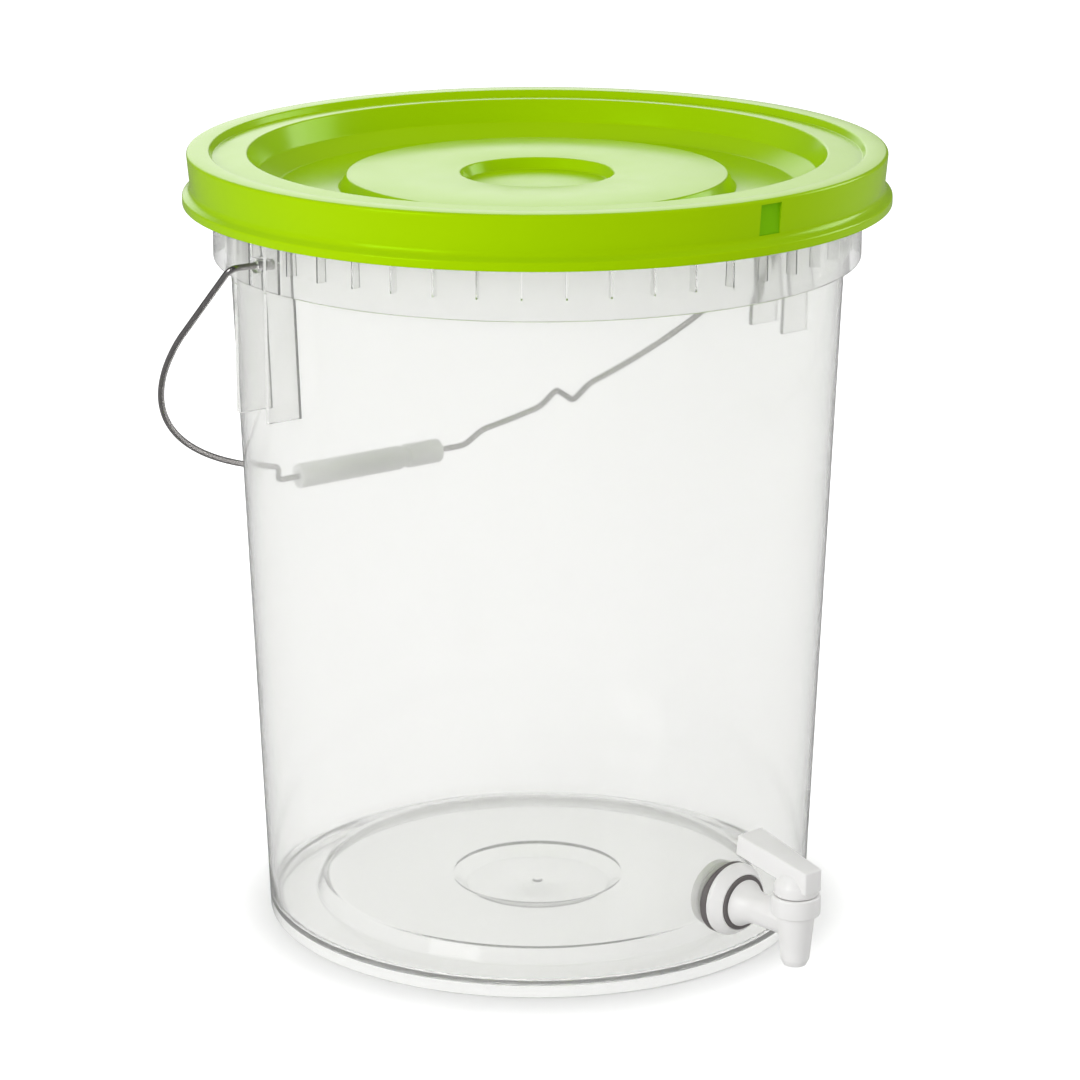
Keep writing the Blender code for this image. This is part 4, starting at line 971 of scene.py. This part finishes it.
def bail_side(kinked):
    """One half of the wire, from its head in the ear to the straight run that holds the grip."""
    corners = [
        Vector((WIRE_HEAD_END + WIRE_HEAD_LENGTH, 0, 0)),
        Vector((BAIL_EAR_HALF_WIDTH, 0, 0)),
        Vector((BAIL_HALF_WIDTH, BAIL_LEG_REACH, 0)),
    ]
    step_start = GRIP_STEP_HALF_WIDTH + GRIP_STEP_RUN
    if kinked:
        outer = KINK_SECOND_WIDTH + KINK_SHOULDER
        inner = KINK_FIRST_WIDTH - KINK_SHOULDER
        corners += bow_points(BAIL_HALF_WIDTH, outer, BOW_STEPS)[1:]
        corners += [
            Vector((KINK_SECOND_WIDTH, bow(KINK_SECOND_WIDTH) + KINK_SIZE, 0)),
            Vector((KINK_FIRST_WIDTH, bow(KINK_FIRST_WIDTH) - KINK_SIZE, 0)),
        ]
        corners += bow_points(inner, step_start, BOW_INNER_STEPS)
    else:
        corners += bow_points(BAIL_HALF_WIDTH, step_start, BOW_LONG_STEPS)[1:]
    corners += [
        Vector((GRIP_STEP_HALF_WIDTH, BAIL_REACH, 0)),
        Vector((0, BAIL_REACH, 0)),
    ]
    return rounded(corners, WIRE_BEND)


def make_bail_wire():
    """The bent wire: a round bar along its path, with an upset head in each ear."""
    right = bail_side(kinked=True)
    left = [Vector((-point.x, point.y, 0)) for point in bail_side(kinked=False)]
    path = right + left[::-1][1:]
    head = WIRE_HEAD_RADIUS / WIRE_RADIUS
    ends = []
    for side in (1, -1):
        inner = Vector((side * WIRE_HEAD_END, 0, 0))
        outer = Vector((side * (WIRE_HEAD_END + WIRE_HEAD_LENGTH - GAP), 0, 0))
        ends.append([(inner, head), (outer, head)])
    stations = ends[0] + [(point, 1.0) for point in path] + ends[1][::-1]
    curve = bpy.data.curves.new("bail_path", "CURVE")
    curve.dimensions = "3D"
    curve.bevel_depth = WIRE_RADIUS
    curve.bevel_resolution = WIRE_ROUNDS
    curve.use_fill_caps = True
    spline = curve.splines.new("POLY")
    spline.points.add(len(stations) - 1)
    for point, (place, scale) in zip(spline.points, stations):
        point.co = (*place, 1)
        point.radius = scale
    holder = bpy.data.objects.new("bail_path", curve)
    mesh = bpy.data.meshes.new_from_object(holder)
    bpy.data.objects.remove(holder)
    bm = bmesh.new()
    bm.from_mesh(mesh)
    mesh = finish_mesh(bm, "bail_wire_bent", BAIL_PLACE)
    piece("bail_wire_bent", mesh, WIRE, "bail", "bail_wire")


def make_bail_grip():
    """The grip, a tube on the straight run of the wire, with a notch near one end."""
    notch_low = GRIP_NOTCH_PLACE - GRIP_NOTCH_WIDTH / 2
    notch_high = GRIP_NOTCH_PLACE + GRIP_NOTCH_WIDTH / 2
    narrow = GRIP_RADIUS - GRIP_NOTCH_DEPTH
    slope = GRIP_NOTCH_DEPTH
    corners = [
        (GRIP_BORE_RADIUS, -GRIP_LEFT, FINE_EDGE),
        (GRIP_RADIUS, -GRIP_LEFT, GRIP_END_ROUND),
        (GRIP_RADIUS, notch_low, FINE_EDGE),
        (narrow, notch_low + slope, FINE_EDGE),
        (narrow, notch_high - slope, FINE_EDGE),
        (GRIP_RADIUS, notch_high, FINE_EDGE),
        (GRIP_RADIUS, GRIP_RIGHT, GRIP_END_ROUND),
        (GRIP_BORE_RADIUS, GRIP_RIGHT, FINE_EDGE),
    ]
    mesh = turned_mesh("grip", filleted(corners), TUBE_STEPS, GRIP_PLACE)
    piece("bail_grip_tube", mesh, GRIP, "grip", "bail_grip")


# Tap


def washer_cutters():
    """Two shapes with a gap to the wall, one inwards from it and one outwards, for the washers."""
    widest = max(FLANGE_RADIUS, NUT_RADIUS)
    low = TAP_HEIGHT - widest - OVERRUN
    high = TAP_HEIGHT + widest + OVERRUN
    core = [
        (0, high),
        (wall_outside(high) + GAP, high),
        (wall_outside(low) + GAP, low),
        (0, low),
    ]
    shell = [
        (wall_inside(high) - GAP, high),
        (TAP_CENTRE, high),
        (TAP_CENTRE, low),
        (wall_inside(low) - GAP, low),
    ]
    return turned_mesh("wall_core", core), turned_mesh("wall_shell", shell)


def ring(inner, outer, back, front, edge):
    """A flat ring about the shank's axis, its edges rounded."""
    corners = [(inner, front, 0), (outer, front, edge), (outer, back, edge), (inner, back, 0)]
    return turned_mesh("ring", filleted(corners), TUBE_STEPS, SHANK_PLACE)


def make_tap_fixings():
    """The washers each side of the wall, the nut inside and the seal at the neck."""
    wall_core, wall_shell = washer_cutters()
    bore = SHANK_RADIUS + GAP
    back = TAP_WALL - wall_fall(FLANGE_RADIUS) - GAP
    front = TAP_WALL_INSIDE + wall_rise(NUT_RADIUS) + GAP
    outer = ring(bore, FLANGE_RADIUS, back, OUTER_WASHER_FACE, WASHER_EDGE)
    inner = ring(bore, NUT_RADIUS, INNER_WASHER_FACE, front, WASHER_EDGE)
    nut = ring(bore, NUT_RADIUS, NUT_FACE - NUT_THICKNESS, NUT_FACE, NUT_EDGE)
    seal = ring(TAIL_RADIUS + GAP, SEAL_RADIUS, SEAL_BACK, SEAL_FRONT, WASHER_EDGE)
    outer = combined(outer, [("DIFFERENCE", wall_core)])
    inner = combined(inner, [("DIFFERENCE", wall_shell)])
    for name, mesh, surface, slot in (
        ("washer_outer", outer, RUBBER, "dark_rubber"),
        ("washer_inner", inner, PALE_RUBBER, "pale_rubber"),
        ("lock_nut", nut, TAP, "tap_plastic"),
        ("stem_seal", seal, RUBBER, "dark_rubber"),
    ):
        piece(name + "_round", mesh, surface, "bucket", name)


def make_tap_flange():
    """The flange and its hollow shank, with a seat for the seal and a socket for the tail."""
    socket = TAIL_RADIUS + GAP
    socket_end = TAIL_END - GAP
    seat = FLANGE_FRONT - SEAL_SEAT_DEPTH
    corners = [
        (WATER_BORE_RADIUS, SHANK_END, TAP_EDGE),
        (WATER_BORE_RADIUS, socket_end, 0),
        (socket, socket_end, 0),
        (socket, seat, 0),
        (SEAL_SEAT_RADIUS, seat, 0),
        (SEAL_SEAT_RADIUS, FLANGE_FRONT, 0),
        (FLANGE_FRONT_RADIUS, FLANGE_FRONT, TAP_EDGE),
        (FLANGE_RADIUS, FLANGE_BACK + FLANGE_EDGE, SOFT_EDGE),
        (FLANGE_RADIUS, FLANGE_BACK, TAP_EDGE),
        (SHANK_RADIUS, FLANGE_BACK, 0),
        (SHANK_RADIUS, SHANK_END, TAP_EDGE),
    ]
    mesh = turned_mesh("flange", filleted(corners), TUBE_STEPS, SHANK_PLACE)
    piece("tap_flange_round", mesh, TAP, "bucket", "tap_flange")


def neck_outline():
    """The neck's outside, from the tail's end through the flare into the barrel."""
    steps = NECK_FLARE_STEPS
    flare = [
        (
            NECK_RADIUS + (NECK_ROOT_RADIUS - NECK_RADIUS) * (1 - step / steps) ** 2,
            NECK_BACK + NECK_FLARE_LENGTH * step / steps,
        )
        for step in range(steps + 1)
    ]
    end = TAP_CENTRE - NECK_SHORT_OF_CENTRE
    tail = [(0, TAIL_END), (TAIL_RADIUS, TAIL_END), (TAIL_RADIUS, NECK_BACK)]
    return tail + flare + [(NECK_RADIUS, end), (0, end)]


def make_tap_body():
    """The neck, the barrel with its cap ring, and the spout, with the bores cut through."""
    neck = turned_mesh("neck", neck_outline(), TUBE_STEPS, SHANK_PLACE)
    barrel = [
        (0, SPOUT_TIP_HEIGHT, 0),
        (SPOUT_TIP_RADIUS, SPOUT_TIP_HEIGHT, TAP_EDGE),
        (SPOUT_LOW_RADIUS, SPOUT_TIP_HEIGHT + SPOUT_CHAMFER, ROUND_EDGE),
        (BARREL_RADIUS, CAP_RING_BOTTOM, 0),
        (CAP_RING_RADIUS, CAP_RING_BOTTOM, CAP_RING_EDGE),
        (CAP_RING_RADIUS, CAP_RING_TOP, CAP_RING_EDGE),
        (0, CAP_RING_TOP, 0),
    ]
    step = PLUG_FOOT_HEIGHT - GAP
    bores = [
        (0, SPOUT_TIP_HEIGHT - OVERRUN),
        (SPOUT_BORE_RADIUS, SPOUT_TIP_HEIGHT - OVERRUN),
        (SPOUT_BORE_RADIUS, step),
        (PLUG_BORE_RADIUS, step),
        (PLUG_BORE_RADIUS, CAP_RING_TOP + OVERRUN),
        (0, CAP_RING_TOP + OVERRUN),
    ]
    bm = bmesh.new()
    start = TAIL_END - OVERRUN
    rod_into(bm, (0, 0, start), (0, 0, 1), TAP_CENTRE - start, WATER_BORE_RADIUS)
    steps = [
        ("UNION", turned_mesh("barrel", filleted(barrel), TUBE_STEPS, PLUG_PLACE)),
        ("DIFFERENCE", finish_mesh(bm, "neck_bore", SHANK_PLACE)),
        ("DIFFERENCE", turned_mesh("barrel_bores", bores, TUBE_STEPS, PLUG_PLACE)),
    ]
    piece("tap_body_cast", combined(neck, steps), TAP, "bucket", "tap_body")


def bar_mesh():
    """The handle's bar: wider and higher at its inner end, its sides folded, its edges rounded."""
    outer = BAR_OUTER_WIDTH / 2
    top = outer + BAR_FLARE
    inner_bottom = BAR_OUTER_BOTTOM + BAR_RISE
    corners = [
        (outer, -BAR_OUTER_END, BAR_OUTER_BOTTOM),
        (top + BAR_FOOT_STEP, BAR_INNER_END, inner_bottom),
        (top, BAR_INNER_END, inner_bottom + BAR_INNER_HEIGHT),
        (outer, -BAR_OUTER_END, BAR_OUTER_BOTTOM + BAR_OUTER_HEIGHT),
    ]
    bm = bmesh.new()
    left, right = (
        [bm.verts.new((side * x, y, z)) for x, y, z in corners] for side in (-1, 1)
    )
    for index in range(len(corners)):
        bm.faces.new([left[index - 1], left[index], right[index], right[index - 1]])
    for side in (left, right):
        bm.faces.new([side[0], side[1], side[3]])
        bm.faces.new([side[1], side[2], side[3]])
    folds = [bm.edges.get((side[1], side[3])) for side in (left, right)]
    outline = [edge for edge in bm.edges if edge not in folds]
    bmesh.ops.recalc_face_normals(bm, faces=bm.faces)
    bmesh.ops.bevel(
        bm, geom=outline, offset=BAR_EDGE, segments=BAR_EDGE_STEPS, affect="EDGES", profile=0.5
    )
    return finish_mesh(bm, "bar", PLUG_PLACE)


def make_tap_handle():
    """The hub with its bar, which turn the plug by its tenon."""
    corners = [
        (0, HUB_TOP, 0),
        (HUB_RADIUS - HUB_SLOPE_RUN, HUB_TOP, ROUND_EDGE),
        (HUB_RADIUS, HUB_TOP - HUB_SLOPE_DROP, BROAD_EDGE),
        (HUB_RADIUS, HUB_BOTTOM, TAP_EDGE),
        (0, HUB_BOTTOM, 0),
    ]
    hub = turned_mesh("hub", filleted(corners), TUBE_STEPS, PLUG_PLACE)
    bm = bmesh.new()
    start = HUB_BOTTOM - OVERRUN
    rod_into(bm, (0, 0, start), (0, 0, 1), TENON_TOP + GAP - start, TENON_RADIUS + GAP)
    steps = [("UNION", bar_mesh()), ("DIFFERENCE", finish_mesh(bm, "socket", PLUG_PLACE))]
    piece("tap_handle_cast", combined(hub, steps), TAP, "handle", "tap_handle")


def dress(names, surface):
    """Gives CAD nodes that stay a material."""
    for name in names:
        node = nodes[name]
        node.data.materials.clear()
        node.data.materials.append(surface)


# Camera, stage and light


def make_camera():
    """The camera at the photo's angle."""
    data = bpy.data.cameras.new("camera")
    data.lens = LENS
    data.sensor_width = SENSOR_WIDTH
    data.clip_end = VIEW_REACH
    camera = bpy.data.objects.new("camera", data)
    bpy.context.scene.collection.objects.link(camera)
    away = Vector((-math.sin(CAMERA_AZIMUTH), -math.cos(CAMERA_AZIMUTH), 0))
    camera.location = AXIS + away * CAMERA_DISTANCE + Vector((0, 0, CAMERA_HEIGHT))
    camera.rotation_euler = (math.pi / 2 - CAMERA_DOWN, 0, -CAMERA_AZIMUTH - CAMERA_ASIDE)
    bpy.context.scene.camera = camera


def by_ray(tree, other, camera, glossy, transmission):
    """A value that depends on the kind of ray that meets the surface."""
    path = tree.nodes.new("ShaderNodeLightPath")
    value = None
    for name, here in (
        ("Is Camera Ray", camera),
        ("Is Glossy Ray", glossy),
        ("Is Transmission Ray", transmission),
    ):
        mix = tree.nodes.new("ShaderNodeMix")
        mix.inputs["A"].default_value = other
        mix.inputs["B"].default_value = here
        tree.links.new(path.outputs[name], mix.inputs["Factor"])
        if value:
            tree.links.new(value, mix.inputs["A"])
        value = mix.outputs["Result"]
    return value


def sloped(tree, source, start, end, low, high):
    """Maps a value onto a range with soft ends."""
    node = tree.nodes.new("ShaderNodeMapRange")
    node.interpolation_type = "SMOOTHSTEP"
    for name, value in zip(("From Min", "From Max", "To Min", "To Max"), (start, end, low, high)):
        node.inputs[name].default_value = value
    tree.links.new(source, node.inputs["Value"])
    return node.outputs["Result"]


def vector_value(tree, operation, source, other=(0, 0, 0)):
    """A number from two vectors: their distance, or the share of one along the other."""
    node = tree.nodes.new("ShaderNodeVectorMath")
    node.operation = operation
    tree.links.new(source, node.inputs[0])
    node.inputs[1].default_value = other
    return node.outputs["Value"]


def added(tree, base, extra, factor):
    """A value plus another, where a ray factor is one."""
    node = tree.nodes.new("ShaderNodeMath")
    node.operation = "MULTIPLY_ADD"
    tree.links.new(extra, node.inputs[0])
    tree.links.new(factor, node.inputs[1])
    tree.links.new(base, node.inputs[2])
    return node.outputs["Value"]


def make_floor():
    """A pale floor that looks white away from the part and keeps its shadow, which a painted glow
    rising with the distance from the bucket fades out near the foot.
    """
    bm = bmesh.new()
    bmesh.ops.create_grid(bm, x_segments=1, y_segments=1, size=FLOOR_SIZE)
    mesh = bpy.data.meshes.new("floor")
    bm.to_mesh(mesh)
    bm.free()
    floor = bpy.data.objects.new("floor", mesh)
    bpy.context.scene.collection.objects.link(floor)
    floor.location = (0, 0, -FLOOR_DROP)
    made, tree, shader = new_material("floor")
    mesh.materials.append(made)
    tree.links.new(by_ray(tree, *FLOOR_TONES), shader.inputs["Base Color"])
    shader.inputs["Roughness"].default_value = FLOOR_ROUGHNESS
    shader.inputs["Specular IOR Level"].default_value = 0.0
    shader.inputs["Emission Color"].default_value = (1, 1, 1, 1)
    place = tree.nodes.new("ShaderNodeTexCoord").outputs["Object"]
    # Painted light: glow for camera rays that rises away from the bucket's axis and fades its
    # shadow
    away = vector_value(tree, "DISTANCE", place, AXIS + Vector(PAINTED_GLOW_SHIFT))
    painted_glow = sloped(tree, away, *FLOOR_PAINTED_GLOW)
    camera = tree.nodes.new("ShaderNodeLightPath").outputs["Is Camera Ray"]
    glow = added(tree, by_ray(tree, *FLOOR_GLOW), painted_glow, camera)
    tree.links.new(glow, shader.inputs["Emission Strength"])


def make_world():
    """A white world, with a brighter patch behind the part that only gloss shows."""
    world = bpy.data.worlds.new("world")
    bpy.context.scene.world = world
    world.use_nodes = True
    tree = world.node_tree
    back = tree.nodes["Background"]
    back.inputs["Color"].default_value = (1, 1, 1, 1)
    towards = tree.nodes.new("ShaderNodeTexCoord").outputs["Generated"]
    share = vector_value(tree, "DOT_PRODUCT", towards, SOFTBOX_TOWARDS)
    patch = sloped(tree, share, *SOFTBOX_REACH)
    path = tree.nodes.new("ShaderNodeLightPath")
    seen = tree.nodes.new("ShaderNodeMath")
    seen.operation = "SUBTRACT"
    seen.use_clamp = True
    tree.links.new(path.outputs["Is Glossy Ray"], seen.inputs[0])
    tree.links.new(path.outputs["Is Transmission Ray"], seen.inputs[1])
    strength = added(tree, by_ray(tree, *WORLD_GLOW), patch, seen.outputs["Value"])
    tree.links.new(strength, back.inputs["Strength"])


def area_light(name, place, target, size, power):
    """A soft square lamp aimed at a point."""
    data = bpy.data.lights.new(name, "AREA")
    data.shape = "SQUARE"
    data.size = size
    data.energy = power
    lamp = bpy.data.objects.new(name, data)
    bpy.context.scene.collection.objects.link(lamp)
    lamp.location = place
    lamp.rotation_euler = (Vector(target) - Vector(place)).to_track_quat("-Z", "Y").to_euler()


make_bucket()
make_lid()
make_bail_wire()
make_bail_grip()
make_tap_fixings()
make_tap_flange()
make_tap_body()
make_tap_handle()
dress(["tap_plug"], TAP)
dress(["plug_seal_upper", "plug_seal_lower"], RUBBER)
make_camera()
make_floor()
make_world()
area_light("key", KEY_PLACE, LIGHT_TARGET, KEY_SIZE, KEY_POWER)
area_light("side", SIDE_PLACE, LIGHT_TARGET, SIDE_SIZE, SIDE_POWER)
bpy.context.scene.view_settings.view_transform = "Standard"
